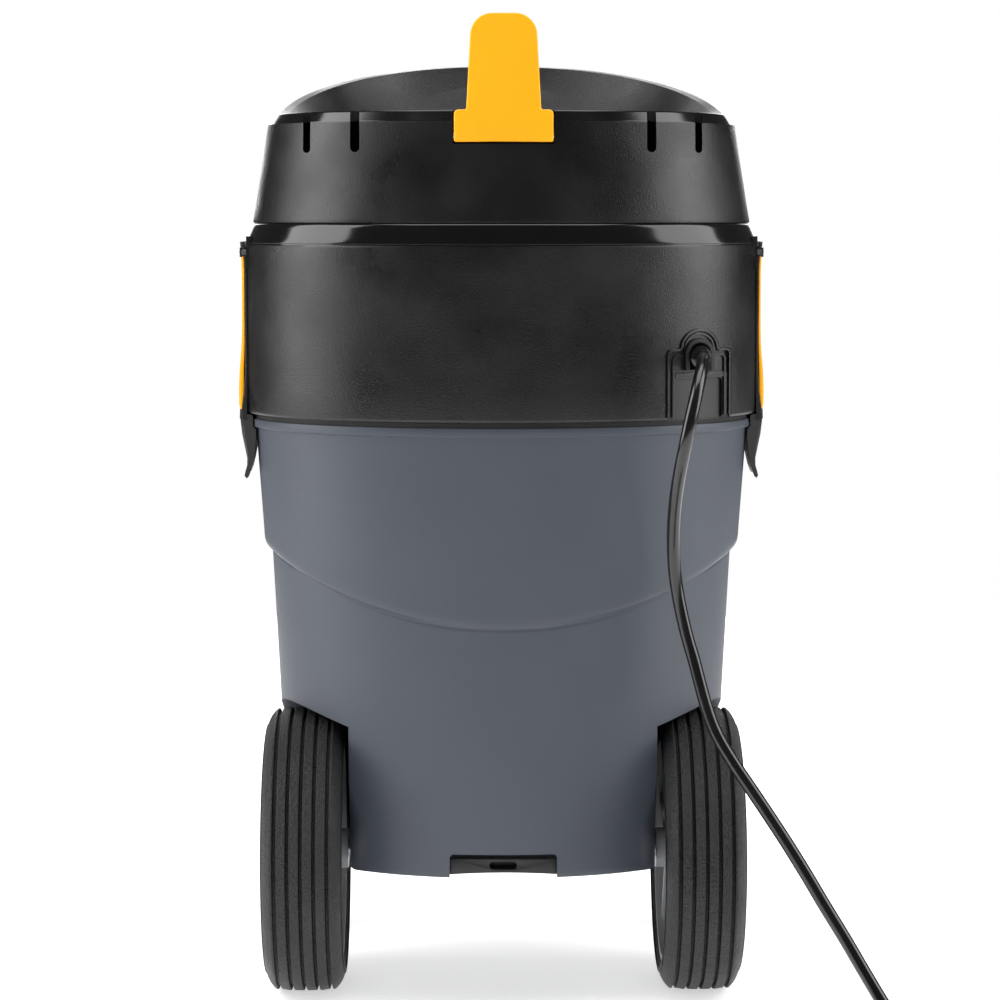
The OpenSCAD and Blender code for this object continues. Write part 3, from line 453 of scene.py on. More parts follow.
FINISH = {
    "tank_grey": finish(
        "tank_grey", (0.052, 0.060, 0.078), 0.46, 1300, 0.00009, 0.04, 0.03, streak=(30, 0.0001)
    ),
    "head_black": finish(
        "head_black", (0.0045, 0.0045, 0.0048), 0.34, 1100, 0.00024, 0.2, 0.12, streak=(16, 0.0010)
    ),
    "gloss_black": finish("gloss_black", (0.004, 0.004, 0.0045), 0.13, 900, 0.00001, 0.1, 0.03),
    "trim_black": finish("trim_black", (0.0085, 0.0085, 0.009), 0.42, 1300, 0.00008, 0.12, 0.06),
    "accent_yellow": finish(
        "accent_yellow", (1.0, 0.41, 0.0), 0.44, 1200, 0.00004, 0.02, 0.04, specular=0.35
    ),
    "tyre_rubber": finish(
        "tyre_rubber", (0.0085, 0.0088, 0.0088), 0.56, 640, 0.0014, 0.4, 0.12, streak=(190, 0.0012)
    ),
    "rim_grey": finish("rim_grey", (0.30, 0.305, 0.315), 0.42, 900, 0.00005, 0.05, 0.06),
    "seal_rubber": finish("seal_rubber", (0.009, 0.009, 0.009), 0.66, 800, 0.00010, 0.15, 0.08),
    "cord_rubber": finish("cord_rubber", (0.005, 0.005, 0.0052), 0.22, 700, 0.00003, 0.15, 0.07, coat=0.3),
    "steel": finish("steel", (0.60, 0.60, 0.62), 0.28, 700, 0.00004, 0.10, 0.08, 1.0, stretch=(1, 1, 6)),
    "aluminium": finish(
        "aluminium", (0.70, 0.70, 0.72), 0.34, 500, 0.00006, 0.06, 0.08, 1.0, stretch=(6, 1, 1)
    ),
    "iron": finish("iron", (0.20, 0.19, 0.18), 0.55, 300, 0.0002, 0.2, 0.1, 0.9, stretch=(0.2, 0.2, 6)),
    "copper": finish("copper", (0.70, 0.32, 0.14), 0.38, 420, 0.0003, 0.15, 0.1, 1.0, stretch=(1, 1, 4)),
    "foam": finish("foam", (0.030, 0.030, 0.032), 0.9, 420, 0.0015, 0.25, 0.05),
    "filter_paper": finish("filter_paper", (0.72, 0.69, 0.60), 0.85, 900, 0.0002, 0.06, 0.05),
    "float_white": finish("float_white", (0.80, 0.79, 0.75), 0.3, 800, 0.00002, 0.04, 0.05),
    "brass": finish("brass", (0.70, 0.55, 0.26), 0.25, 700, 0.00003, 0.08, 0.08, 1.0, stretch=(6, 1, 1)),
    "floor": finish("floor", (0.86, 0.86, 0.86), 0.75, 60, 0.00002, 0.01, 0.03),
}


def dress(obj, slot, body, replaced=()):
    """Give a piece its finish, its body and the CAD nodes it stands for."""
    obj.data.materials.clear()
    obj.data.materials.append(FINISH[slot])
    if body:
        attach(obj, body)
    if replaced:
        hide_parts(*replaced)
    return obj


# ---- Camera ----

EYE = (27.0, 2208.0, 548.0)
AIM = (0.2, 0.0, 338.0)
camera_data = bpy.data.cameras.new("camera")
camera_data.lens = 108
camera_data.sensor_width = 36
camera = bpy.data.objects.new("camera", camera_data)
bpy.context.scene.collection.objects.link(camera)
camera.location = [MM * c for c in EYE]
camera.rotation_euler = (Vector(AIM) - Vector(EYE)).to_track_quat("-Z", "Y").to_euler()
bpy.context.scene.camera = camera

# ---- Cord, its coil, tie and plug ----

ROUTE = [
    (-134.5, 177.7, 451.6), (-134.4, 188, 451.6), (-133.6, 198.7, 450.2), (-132.1, 208.6, 446.1),
    (-130, 217.2, 439.6), (-127.6, 223.8, 431.2), (-125.1, 228.2, 421.3), (-122.7, 230, 410.8),
    (-120.2, 229.2, 398.6), (-118, 225.2, 386), (-116.2, 219, 373.2), (-115, 211.4, 360.2),
    (-114.4, 203.6, 347), (-114.4, 196.6, 333.4), (-115, 191, 319.4), (-116.3, 187.6, 305),
    (-118.6, 186.4, 290), (-121.8, 187, 274.5), (-125.5, 188.8, 259.5), (-129.3, 191.2, 246.5),
    (-137, 199, 217), (-144, 206, 198), (-154, 213, 181), (-165, 221, 165), (-176, 229, 149),
    (-188, 238, 131), (-200, 247, 112), (-212, 256, 92), (-225, 266, 71), (-238, 277, 49),
    (-250.5, 288.5, 29), (-262.5, 303, 14.5), (-272.5, 321, 7),
]
ENTRY_ANGLE = 203.4
EXIT_ANGLE = 90.0
COIL_TURNS = 13
LAYERS = 4
OUTER_COLUMN = 1.5
CLIMB = 100
SLIDE = 160
STAY = 360 - SLIDE
REST = STAY - CLIMB


def coil_legs():
    """Angle wound, columns moved and layers climbed on each stretch of the coil."""
    legs = [(STAY, 0, 0)]
    for layer in range(LAYERS):
        across = 1 if layer % 2 else -1
        if layer:
            legs += [(REST, 0, 0), (CLIMB, 0, 1), (REST, 0, 0)]
        legs += [(SLIDE, across, 0), (STAY, 0, 0), (SLIDE, across, 0), (STAY, 0, 0), (SLIDE, across, 0)]
    wound = sum(leg[0] for leg in legs)
    return legs + [(ENTRY_ANGLE - EXIT_ANGLE + 360 * COIL_TURNS - wound, 0, 0)]


def coil_point(wound, column, layer):
    a = math.radians(ENTRY_ANGLE - wound)
    r = COIL_R + CORD_D * column
    return COIL_AT[0] + r * math.cos(a), COIL_AT[1] + r * math.sin(a), TIE_T + CORD_R + CORD_D * layer


def coil_path():
    """Layers wound inwards and outwards by turns, each turn beside the one before it."""
    points = []
    wound, column, layer = 0.0, OUTER_COLUMN, 0
    for span, across, up in coil_legs():
        steps = round(span / 5)
        for i in range(steps):
            u = i / steps
            share = u**3 * (10 - 15 * u + 6 * u * u)
            points.append(coil_point(wound + span * u, column + across * share, layer + up * share))
        wound += span
        column += across
        layer += up
    return points + [coil_point(wound, column, layer)]


PLUG_START = (COIL_AT[0] + 70, COIL_AT[1] + COIL_R + 2 * CORD_D, 19.0)
wound = coil_path()
lead_in = spline(ROUTE + wound[:2], 4)
tail = spline(
    [wound[-2], wound[-1], (PLUG_START[0] - 53, PLUG_START[1] - 4.2, 32.6),
     (PLUG_START[0] - 34, PLUG_START[1] - 3, 29.6), (PLUG_START[0] - 17, PLUG_START[1] - 1, 22.3),
     (PLUG_START[0] - 6, PLUG_START[1] - 0.3, 19.3), PLUG_START,
     (PLUG_START[0] + 4, PLUG_START[1], PLUG_START[2])], 3,
)
cord_path = np.concatenate([lead_in, np.array(wound[2:-1]), tail[2:]])
cord = dress(tube("mains_cord", cord_path, CORD_R, 16), "cord_rubber", None, ["cord_tube", "cord_coil"])
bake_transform(cord)

plug_profile = [(0.001, 2), (5.6, 2), (6.6, 3)]
for k in range(5):
    step = 4 + 4.4 * k
    radius = 6.8 + 0.35 * k
    plug_profile += [(radius, step), (radius, step + 2.6), (radius - 1.2, step + 3), (radius - 1.2, step + 4)]
plug_profile += [(8.6, 26), (10.6, 27.5), (12.6, 30), (14.6, 33), (15.8, 37), (16.4, 44), (16.9, 58)]
plug_profile += [(17.4, 61)]
plug_profile += [(18.1, 62.2), (18.5, 63.2), (18.5, 70.8), (18.0, 71.7), (17.2, 72), (0.001, 72)]
plug = revolve("mains_plug", plug_profile, PLUG_START, "x", 64)
dress(plug, "cord_rubber", "tank", ["plug"])

pins = []
for s in (-1, 1):
    centre = (PLUG_START[0], PLUG_START[1] + 9.5 * s, PLUG_START[2])
    pins.append(revolve(
        f"plug_pin_{'left' if s < 0 else 'right'}",
        [(0.001, 70), (2.4, 70), (2.4, 89), (2.1, 90.2), (1.4, 90.9), (0.001, 91)], centre, "x", 32,
    ))
    dress(pins[-1], "brass", "tank", ["plug_pins"] if s > 0 else ())


def strap_outline(wide, high, radius, grow):
    """Rounded rectangle about the coil's section, seen along X."""
    points = []
    w = wide / 2 + grow
    for cx, cy, start in (
        (w - radius, high - radius, 0), (radius - w, high - radius, 90),
        (radius - w, radius, 180), (w - radius, radius, 270),
    ):
        points += arc(cx, cy, radius, start, start + 90, 8)
    return points


def coil_strap():
    wide = 4 * CORD_D
    high = LAYERS * CORD_D + 2 * TIE_T
    outer = strap_outline(wide, high, 4.0, TIE_T)
    inner = [(u * (wide / 2) / (wide / 2 + TIE_T), TIE_T + v * (high - 2 * TIE_T) / high) for u, v in outer]
    middle_y = COIL_AT[1] - COIL_R + 0.25
    rings = []
    for u, v, p, q in [(*o, *i) for o, i in zip(outer, inner)]:
        section = []
        for x, share in ((-4.6, 1), (-5, 0.7), (-5, 0.3), (-4.6, 0), (4.6, 0), (5, 0.3), (5, 0.7), (4.6, 1)):
            y = p + share * (u - p)
            z = q + share * (v - q)
            section.append((COIL_AT[0] + x, middle_y + y, z))
        rings.append(section)
    return loft("coil_strap", rings, closed=True)


strap = dress(coil_strap(), "trim_black", "tank", ["coil_tie"])

# ---- Tank ----


def well_cutter(side, grow):
    """Space of a rear wheel."""
    reach = WHEEL_R + 6 + grow
    top = AXLE_Z + WELL_TOP * WHEEL_R
    bend = math.degrees(math.asin(WELL_TOP * WHEEL_R / reach))
    outline = [(AXLE_Y - reach, -1), (AXLE_Y - reach, AXLE_Z)]
    outline += arc(AXLE_Y, AXLE_Z, reach, 180, bend, 64)[1:]
    outline += [(AXLE_Y + 200, top), (AXLE_Y + 200, -1)]
    inner = WHEEL_IN - WHEEL_GAP - grow
    return prism("well", outline, side * inner, side * 2 * HW, "x")


def corner_cutter(side):
    """Rounds the tank's rear corner beside a wheel, fading out under the fender."""
    wall = WHEEL_IN - WHEEL_GAP
    rings = []
    for i in range(34):
        z = 84 + 2.35 * i
        a = low_a(z)
        fade = max(0.0, min(1.0, (z - 116) / 45))
        radius = 30 - 29 * fade * fade * (3 - 2 * fade)
        low, high = YW, rear_y(a, wall)
        for _ in range(30):
            middle = (low + high) / 2
            gap = min(
                math.hypot(wall - radius - x, middle - rear_y(a, x))
                for x in [wall - 2.2 * radius + 2.2 * radius * k / 60 for k in range(61)]
            )
            if gap > radius:
                low = middle
            else:
                high = middle
        cx, cy = wall - radius, low
        nearest = min(
            (math.hypot(cx - x, cy - rear_y(a, x)), x)
            for x in [wall - 2.2 * radius + 2.2 * radius * k / 200 for k in range(201)]
        )[1]
        top = math.degrees(math.atan2(rear_y(a, nearest) - cy, nearest - cx))
        curve = arc(cx, cy, radius, 0, top, 14)
        outer = [(curve[-1][0] + 0.0, curve[-1][1] + 3), (wall + 6, rear_y(a, wall) + 22), (wall + 6, cy)]
        rings.append([(side * x, y, z) for x, y in curve + outer])
    return loft("corner", rings)


def build_tank():
    skin = [
        ring(TANK_FOOT_A - 4, 93), ring(TANK_FOOT_A - 2.6, 93.3), ring(TANK_FOOT_A - 1.4, 94.2),
        ring(TANK_FOOT_A - 0.5, 96), ring(TANK_FOOT_A, 99),
    ]
    below = step_ring(-3, 0, 0)
    skin += [between(skin[-1], below, k / 12) for k in range(1, 12)]
    skin += [below]
    for up, out, proud in (
        (-1.6, 0, 0), (-0.7, -0.35, 0.02), (0, -0.35, 0.12), (0.8, 0.0, 0.38), (1.8, 0.5, 0.66),
        (3.2, 0.85, 0.86), (5, 1.05, 0.95), (8, 1.1, 1), (12, 1.1, 1),
    ):
        skin.append(step_ring(up, out, proud))
    above = skin[-1]
    under_lip = ring(TANK_TOP_A, 397.5)
    skin += [between(above, under_lip, k / 6) for k in range(1, 6)]
    skin += [under_lip]
    for a, z in (
        (0.1, 398.3), (0.7, 398.8), (2.2, 399), (2.8, 399.3), (3, 400), (3, 403.6), (2.7, 404.6), (2.1, 405),
        (1.7, 405),
    ):
        skin.append(ring(TANK_TOP_A + a, z))
    skin += [ring(TANK_TOP_A + 1.6, 404)]
    body = loft("tank_shell", skin)
    boss = rod("boss", (0, 0, PORT_Z), "y", 40, BOSS_Y - 6, BOSS_Y + 34, 128, 2.0)
    combine(body, [boss], "UNION")
    hollow = loft("hollow", [
        ring(TANK_FOOT_A - 14, 121), ring(TANK_FOOT_A - 6, 125), ring(TANK_FOOT_A - 4, 135),
        step_ring(-1.5, -4, 0), step_ring(8, -4, 0.7), ring(TANK_TOP_A - 4, 390), ring(TANK_TOP_A - 4, 410),
    ])
    cut(hollow, well_cutter(1, 4), well_cutter(-1, 4))
    skirt = loft("skirt", [ring(TANK_FOOT_A - 8, 90), ring(TANK_FOOT_A - 6, 117)])
    cut(skirt, well_cutter(1, 4), well_cutter(-1, 4))
    notch_outline = [(-NOTCH_HALF, 80), (NOTCH_HALF, 80)]
    notch_outline += arc(NOTCH_HALF - 3, 107, 3, 0, 90, 4) + arc(3 - NOTCH_HALF, 107, 3, 90, 180, 4)
    notch = prism("notch", notch_outline, YW, AXLE_Y + WHEEL_R)
    bore = prism("bore", circle(0, PORT_Z, PORT_BORE_R, 64), BOSS_Y - 20, BOSS_Y + 60)
    axle_hole = prism("axle_hole", circle(AXLE_Y, AXLE_Z, AXLE_HOLE_R, 48), -HW, HW, "x")
    cut(body, well_cutter(1, 0), well_cutter(-1, 0), corner_cutter(1), corner_cutter(-1))
    return cut(body, hollow, skirt, notch, bore, axle_hole, angle=32)


tank = dress(build_tank(), "tank_grey", "tank", ["tank"])


def build_grip():
    back = YW + REAR * TANK_FOOT_A / HW - 11
    low, high = TANK_BOTTOM + 0.8, TANK_BOTTOM + 12.4
    outline = []
    for k in range(25):
        x = -37.6 + 75.2 * k / 24
        outline.append((x, low + 1.2 * (1 - (x / 37.6) ** 2)))
    outline += arc(35.4, high - 2.2, 2.2, 0, 90, 4) + arc(-35.4, high - 2.2, 2.2, 90, 180, 4)
    body = prism("grip_bar", outline, back - 34, back)
    slot_outline = arc(7, 100.2, 2.4, -90, 90, 6) + arc(-7, 100.2, 2.4, 90, 270, 6)
    slot_hole = prism("slot", slot_outline, back - 10, back + 5)
    under = block("under", (-33, back - 40, 80), (33, back - 12, 101))
    cut(body, slot_hole, under)
    return bevel(body, 0.7)


dress(build_grip(), "trim_black", "tank", ["grip_insert"])

# ---- Tyres ----


def build_tyre(side):
    """Six grained ribs between grooves with slightly raised, rounded edges."""
    inner = WHEEL_R - 18
    pitch = (TYRE_W - 2) / 6
    half = 1.2
    profile = [(inner, 3), (inner + 2.5, 1.1), (inner + 6, 0.2)]
    shoulder = [(15, 0.1), (11.5, 0.8), (8.2, 2), (5.2, 3.6), (3, 5.3), (1.7, 6.6)]
    profile += [(WHEEL_R - drop, along) for drop, along in shoulder]
    for i in range(1, 6):
        at = 1 + i * pitch
        crown = WHEEL_R - (0.9 if i in (1, 5) else 0.15 if i in (2, 4) else 0.0)
        profile += [(crown, at - half - 1.2), (crown, at - half - 0.5), (crown - 0.15, at - half - 0.15)]
        floor_r = WHEEL_R - 4
        profile += [(crown - 0.6, at - half), (WHEEL_R - 3.6, at - half + 0.15), (floor_r, at - half + 0.5)]
        profile += [(floor_r, at + half - 0.5), (WHEEL_R - 3.6, at + half - 0.15), (crown - 0.6, at + half)]
        profile += [(crown - 0.15, at + half + 0.15), (crown, at + half + 0.5), (crown, at + half + 1.2)]
    profile += [(WHEEL_R - drop, TYRE_W - along) for drop, along in reversed(shoulder)]
    profile += [(inner + 6, TYRE_W - 0.2), (inner + 2.5, TYRE_W - 1.1), (inner, TYRE_W - 3)]
    turned = [(r, side * (WHEEL_IN + along)) for r, along in profile]
    name = "rear_tyre_left" if side < 0 else "rear_tyre_right"
    return revolve(name, turned, (0, AXLE_Y, AXLE_Z), "x", 180, 40)


for side, word in ((-1, "left"), (1, "right")):
    dress(build_tyre(side), "tyre_rubber", f"wheel_{word}", [f"tyre_{word}"])

# ---- Head ----


def outlet_outline(inset):
    half = 22.5 - inset
    shoulder = OUTLET_Z + 4.5 - inset
    radius = 13 - inset
    foot = TANK_TOP - 4
    rise = math.degrees(math.asin((shoulder - OUTLET_Z - 5) / radius))
    points = [(OUTLET_X - half, foot), (OUTLET_X + half, foot)]
    points += arc(OUTLET_X + half - 2, shoulder - 2, 2, 0, 90, 4)
    points += arc(OUTLET_X, OUTLET_Z + 5, radius, rise, 180 - rise, 32)
    points += arc(OUTLET_X - half + 2, shoulder - 2, 2, 90, 180, 4)
    return points


def build_housing():
    rows = [
        (-3.4, 408.9), (-1.6, 408.7), (-0.7, 409.1), (-0.2, 409.9), (0, 411), (0, 430), (0, 450), (0, 470),
        (0, 490), (0, 510), (0, 525.6), (-0.1, 526.6), (-0.55, 527.2), (-0.62, 527.9), (-0.45, 528.6),
        (-0.75, 529.6), (-2.0, 532.6), (-3.6, 536.4), (-4.7, 539), (-5.4, 540.6), (-6.1, 541.5), (-7.1, 542),
        (-10, 542), (-4.6, 525.5), (-4, 421), (-24, 418), (-24, 414), (-4, 414),
    ]
    body = loft("head_shell", [ring(HW + d, z) for d, z in rows], closed=True)
    panel_hole = block("panel_hole", (-48, -400, 445), (48, YW - FRONT * (HW - 24) / HW, 507))
    outlet = prism("outlet", outlet_outline(0), YW + 40, 320)
    vents = []
    for s in (-1, 1):
        for k in range(6):
            z = VENT_Z + VENT_PITCH * k + VENT_R
            end = arc(s * VENT_X + VENT_HALF, z, VENT_R, -90, 90, 6)
            end += arc(s * VENT_X - VENT_HALF, z, VENT_R, 90, 270, 6)
            vents.append(prism(f"vent_{s}_{k}", end, -400, 0))
    seats, backs = [], []
    for s in (-1, 1):
        backs.append(block(
            "back", (s * (HW - 16), YW - SEAT_HALF - 4, PIVOT_Z - 12),
            (s * (HW - 3.5), YW + SEAT_HALF + 4, PIVOT_Z + 11),
        ))
        seats.append(block(
            "seat", (s * (HW - 12), YW - SEAT_HALF, PIVOT_Z - 9), (s * (HW + 9), YW + SEAT_HALF, PIVOT_Z + 9),
        ))
    combine(body, backs, "UNION")
    return cut(body, panel_hole, outlet, *vents, *seats, angle=28)


housing = dress(build_housing(), "head_black", "head", ["head_housing"])


def polish(obj, chosen):
    """Gives the faces that a test picks the glossy finish."""
    obj.data.materials.append(FINISH["gloss_black"])
    for face in obj.data.polygons:
        if chosen(face.center / MM, face.normal):
            face.material_index = 1


polish(housing, lambda c, n: BEVEL_Z - 1.5 < c.z < HOUSING_TOP + 1 and n.z > 0.05)


def build_cover():
    rows = []
    for k in range(15):
        s = k / 14
        a = DISH_A - 2 + s * (RIM_A - 7.5 - DISH_A + 2)
        share = 0.93 * s**1.35 + 0.07 * s**6
        rows.append(bowl_ring(a, share, 1.0))
    rows += [cover_ring(RIM_A + d, 1, down) for d, down in (
        (-5.6, 0.7), (-3.6, 0.3), (-1.6, 0.05), (-0.7, 0.05), (-0.1, 0.35), (0.4, 1.0),
    )]
    rows += [cover_ring(RIM_A + 4.1, 0.912, 0), cover_ring(RIM_A + 4.6, 0.905, 0.1)]
    rows += [cover_ring(RIM_A + 4.8, 0.89, 0.2)]
    for k in range(1, 9):
        share = 0.89 - 0.85 * k / 9
        rows.append(cover_ring(RIM_A + 4.8 + (BEVEL_A - RIM_A - 5.2) * (0.89 - share) / 0.85, share, 0))
    rows += [cover_ring(BEVEL_A - 0.2, 0, -3), cover_ring(BEVEL_A, 0, -1.6)]
    rows += [cover_ring(BEVEL_A - 0.1, 0, -0.7), cover_ring(BEVEL_A - 0.8, 0, -0.15)]
    rows += [cover_ring(BEVEL_A - 4, 0, -0.1), cover_ring(RIM_A + 0.5, 0.9, 0)]
    rows += [cover_ring(RIM_A - 7, 1, 5), cover_ring(RIM_A - 13, 0.86, 0), cover_ring(DISH_A + 6, 0, -42)]
    rows += [cover_ring(DISH_A - 4, 0, -41)]
    body = loft("cover_shell", rows)
    foot = HOOK_FOOT
    seat = block("hook_back", (-foot - 6, HOOK_Y - 12, HOOK_Z - 10), (foot + 6, HOOK_Y - 4.2, COVER_TOP - 1))
    combine(body, [seat], "UNION")
    recess_outline = [(-foot - 0.8, HOOK_Z - 5.2), (foot + 0.8, HOOK_Z - 5.2)]
    recess_outline += [(foot + 0.8, COVER_TOP + 9), (-foot - 0.8, COVER_TOP + 9)]
    cutters = [prism("recess", recess_outline, HOOK_Y - 5.6, HOOK_Y + 40)]
    for s in (-1, 1):
        for x, half in ((100.4, 3.2), (134.1, 2.6)):
            outline = arc(s * x, COVER_TOP - 28 + half, half, 180, 360, 10)
            outline += [(s * x + half, COVER_TOP + 6), (s * x - half, COVER_TOP + 6)]
            cutters.append(prism(f"rim_slot_{s}_{x}", outline, rear_y(RIM_A - 1.5, x), 260))
    return cut(body, *cutters, angle=28)


cover = dress(build_cover(), "head_black", "head", ["top_cover"])


def on_rim(c, n):
    """The rim's top and the chamfer outside it."""
    reach = REAR if c.y > YW else FRONT
    a = HW * ((abs(c.x) / HW) ** SQUARENESS + (abs(c.y - YW) / reach) ** SQUARENESS) ** (1 / SQUARENESS)
    rim = rim_height(max(0.0, (YW - c.y) / (FRONT * a / HW)))
    return a > RIM_A - 2.2 and n.z > 0.25 and c.z > HOUSING_TOP + 0.88 * (rim - HOUSING_TOP)


polish(cover, on_rim)


def build_hook():
    top = COVER_TOP + 64
    root, tip, corner, foot = 25.0, 22.5, 15.0, HOOK_FOOT
    outline = [(-foot, HOOK_Z - 4.0), (foot, HOOK_Z - 4.0)]
    outline += arc(foot - 3, COVER_TOP - 3, 3, 0, 90, 6)
    outline += arc(root + 1.6, COVER_TOP + 1.6, 1.6, 270, 180, 5)
    outline += arc(tip - corner, top - corner, corner, 4, 90, 16)
    outline += arc(corner - tip, top - corner, corner, 90, 176, 16)
    outline += arc(-root - 1.6, COVER_TOP + 1.6, 1.6, 0, -90, 5)
    outline += arc(3 - foot, COVER_TOP - 3, 3, 90, 180, 6)
    body = prism("cord_hook_plate", outline, HOOK_Y - 4.5, HOOK_Y + 4.5)
    return bevel(body, 1.3, 4, 40)


hook = dress(build_hook(), "accent_yellow", "hook", ["cord_hook"])


hook_axle = rod("hook_axle", (0, HOOK_Y, HOOK_Z), "x", 2.4, -33.9, 33.9, 32)
dress(hook_axle, "steel", "head", ["hook_pin"])


def bent_plate(name, profile, half, taper=0.0, columns=36):
    """Profile of (half width, height) bent along the head's side; the plate narrows at its tip."""

    def build(side):
        rings = []
        for k in range(columns + 1):
            u = 2 * k / columns - 1
            inset = 0.8 * max(0.0, abs(u) - 0.94) / 0.06
            section = []
            middle = sum(p[0] for p in profile) / len(profile)
            for a, z in profile:
                width = half - (taper * max(0.0, (430 - z) / 80) ** 1.5 if taper else 0)
                pulled = a + (middle - a) * 0.18 * inset
                y = YW + u * width
                section.append((side * side_x(pulled, y), y, z))
            rings.append(section)
        return loft(name + ("_left" if side < 0 else "_right"), rings)

    return build


def profile_ribbon(centre, thick):
    """Closed ribbon of a given half thickness about a centre line of (half width, height)."""
    left, right = [], []
    for i, (a, z) in enumerate(centre):
        before = centre[max(0, i - 1)]
        after = centre[min(len(centre) - 1, i + 1)]
        d = (after[0] - before[0], after[1] - before[1])
        size = math.hypot(*d)
        n = (-d[1] / size, d[0] / size)
        t = thick[i] if hasattr(thick, "__len__") else thick
        left.append((a + n[0] * t, z + n[1] * t))
        right.append((a - n[0] * t, z - n[1] * t))
    return left + right[::-1]


STRIP_LINE = [
    (HW + 2.6, 404), (HW + 2.4, 412), (HW + 1.5, 424), (HW + 0.9, 440), (HW + 0.8, 470), (HW + 0.8, 505),
    (HW + 1.0, 516), (HW + 1.5, 522), (HW + 2.2, 526.5), (HW + 2.6, 529),
]
STRIP_THICK = [1.6, 1.5, 1.0, 0.6, 0.55, 0.55, 0.6, 0.6, 0.6, 0.4]
TAB = [
    (HW + 4.0, 411), (HW + 3.6, 402), (HW + 2.6, 393), (HW + 0.4, 382), (HW - 0.9, 375.5), (HW - 0.8, 370),
    (HW + 0.4, 366), (HW + 1.1, 363), (HW + 0.6, 362), (HW - 1.0, 363.6), (HW - 2.8, 368), (HW - 4.2, 374),
    (HW - 5.6, 382), (HW - 6.2, 390), (HW - 6.2, 397), (HW - 5.0, 398), (HW - 3.7, 399.5), (HW - 3.7, 405.8),
    (HW - 2.6, 407.4), (HW + 0.9, 408),
]
INLAY_LINE = [
    (HW + 3.3, 410.5), (HW + 3.6, 414), (HW + 3.6, 424), (HW + 3.1, 438), (HW + 2.3, 450), (HW + 1.9, 458),
    (HW + 1.7, 468), (HW + 1.65, 490), (HW + 1.65, 508), (HW + 1.9, 515), (HW + 2.3, 520),
]
INLAY_THICK = [0.5, 0.9, 1.0, 0.9, 0.6, 0.45, 0.35, 0.3, 0.3, 0.3, 0.2]
for side, word in ((-1, "left"), (1, "right")):
    strip = bent_plate("latch_strip", profile_ribbon(STRIP_LINE, STRIP_THICK), STRIP_HALF)(side)
    tab = bent_plate("latch_tab", TAB, STRIP_HALF, 9)(side)
    knuckle = rod(f"knuckle_{word}", (side * PIVOT_X, 0, PIVOT_Z), "y", 4, YW - 26, YW + 26, 48)
    web = block(
        f"web_{word}", (side * PIVOT_X, YW - 25.5, PIVOT_Z - 3.6),
        (side * (HW + 1.8), YW + 25.5, PIVOT_Z + 3),
    )
    combine(strip, [tab, knuckle, web], "UNION")
    strip.name = f"latch_strip_{word}"
    dress(strip, "trim_black", f"latch_{word}", [f"latch_{word}"])
    inlay = bent_plate("latch_band", profile_ribbon(INLAY_LINE, INLAY_THICK), 26)(side)
    dress(inlay, "accent_yellow", f"latch_{word}", [f"latch_inlay_{word}"])

# ---- Cord's outlet ----


def wall_patch(x, z, out):
    """Point on the head's rear wall, moved out from it."""
    return (x, rear_y(HW + out, x), z)


def ridge(name, path, width, height, base=-0.6):
    """Rounded ridge along a flat path on the head's rear wall."""
    path = spline(path, 1.2)
    along = np.gradient(path, axis=0)
    along /= np.linalg.norm(along, axis=1)[:, None]
    half = width / 2
    section = [(-half, base), (-half, height * 0.45), (-half * 0.8, height * 0.85), (-half * 0.4, height)]
    section += [(half * 0.4, height), (half * 0.8, height * 0.85), (half, height * 0.45), (half, base)]
    rings = []
    for (x, z), (dx, dz) in zip(path, along):
        rings.append([wall_patch(x - dz * s, z + dx * s, h) for s, h in section])
    return loft(name, rings)


def house_path(half, shoulder, radius, foot):
    """Open path up one side, over the shoulder and the arch, and down the other side."""
    rise = math.asin(max(-1, min(1, (shoulder - OUTLET_Z - 5) / radius)))
    right = [(half, foot), (half, foot + 12), (half, shoulder - 12), (half, shoulder - 4)]
    right += [(half - 0.6, shoulder - 1.2), (half - 2.4, shoulder), (half - 5, shoulder)]
    right += [(radius + 1.5, shoulder + 0.1)]
    over = []
    for k in range(13):
        a = rise + 0.12 + (math.pi - 2 * rise - 0.24) * k / 12
        over.append((radius * math.cos(a), OUTLET_Z + 5 + radius * math.sin(a)))
    left = [(-x, z) for x, z in right[::-1]]
    return [(OUTLET_X + x, z) for x, z in right + over + left]


def build_entry():
    fill = loft("entry_fill", [
        ring(HW - 1.4, 409.3), ring(HW - 1.4, 480), ring(HW - 6.5, 480), ring(HW - 6.5, 420.5),
        ring(HW - 3.9, 420.5), ring(HW - 3.9, 409.3),
    ], closed=True)
    keep = prism("keep", outlet_outline(0.35), YW + 40, 320)
    combine(fill, [keep], "INTERSECT")
    horseshoe = arc(OUTLET_X, OUTLET_Z + 2, 9.9, 0, 180, 24)
    horseshoe += [(OUTLET_X - 9.9, OUTLET_Z - 9), (OUTLET_X + 9.9, OUTLET_Z - 9)]
    hole = prism("hole", horseshoe, YW + 40, 320)
    niche_outline = [(OUTLET_X - 16.5, 400), (OUTLET_X + 16.5, 400)]
    niche_outline += arc(OUTLET_X + 14.5, OUTLET_Z - 17, 2, 0, 90, 4)
    niche_outline += arc(OUTLET_X - 14.5, OUTLET_Z - 17, 2, 90, 180, 4)
    niche = prism("niche", niche_outline, YW + 40, 320)
    skin = [ring(HW + 8, 402), ring(HW + 8, 460), ring(HW - 3.2, 460), ring(HW - 3.2, 402)]
    shell = loft("niche_skin", skin, closed=True)
    combine(niche, [shell], "INTERSECT")
    return cut(fill, hole, niche)


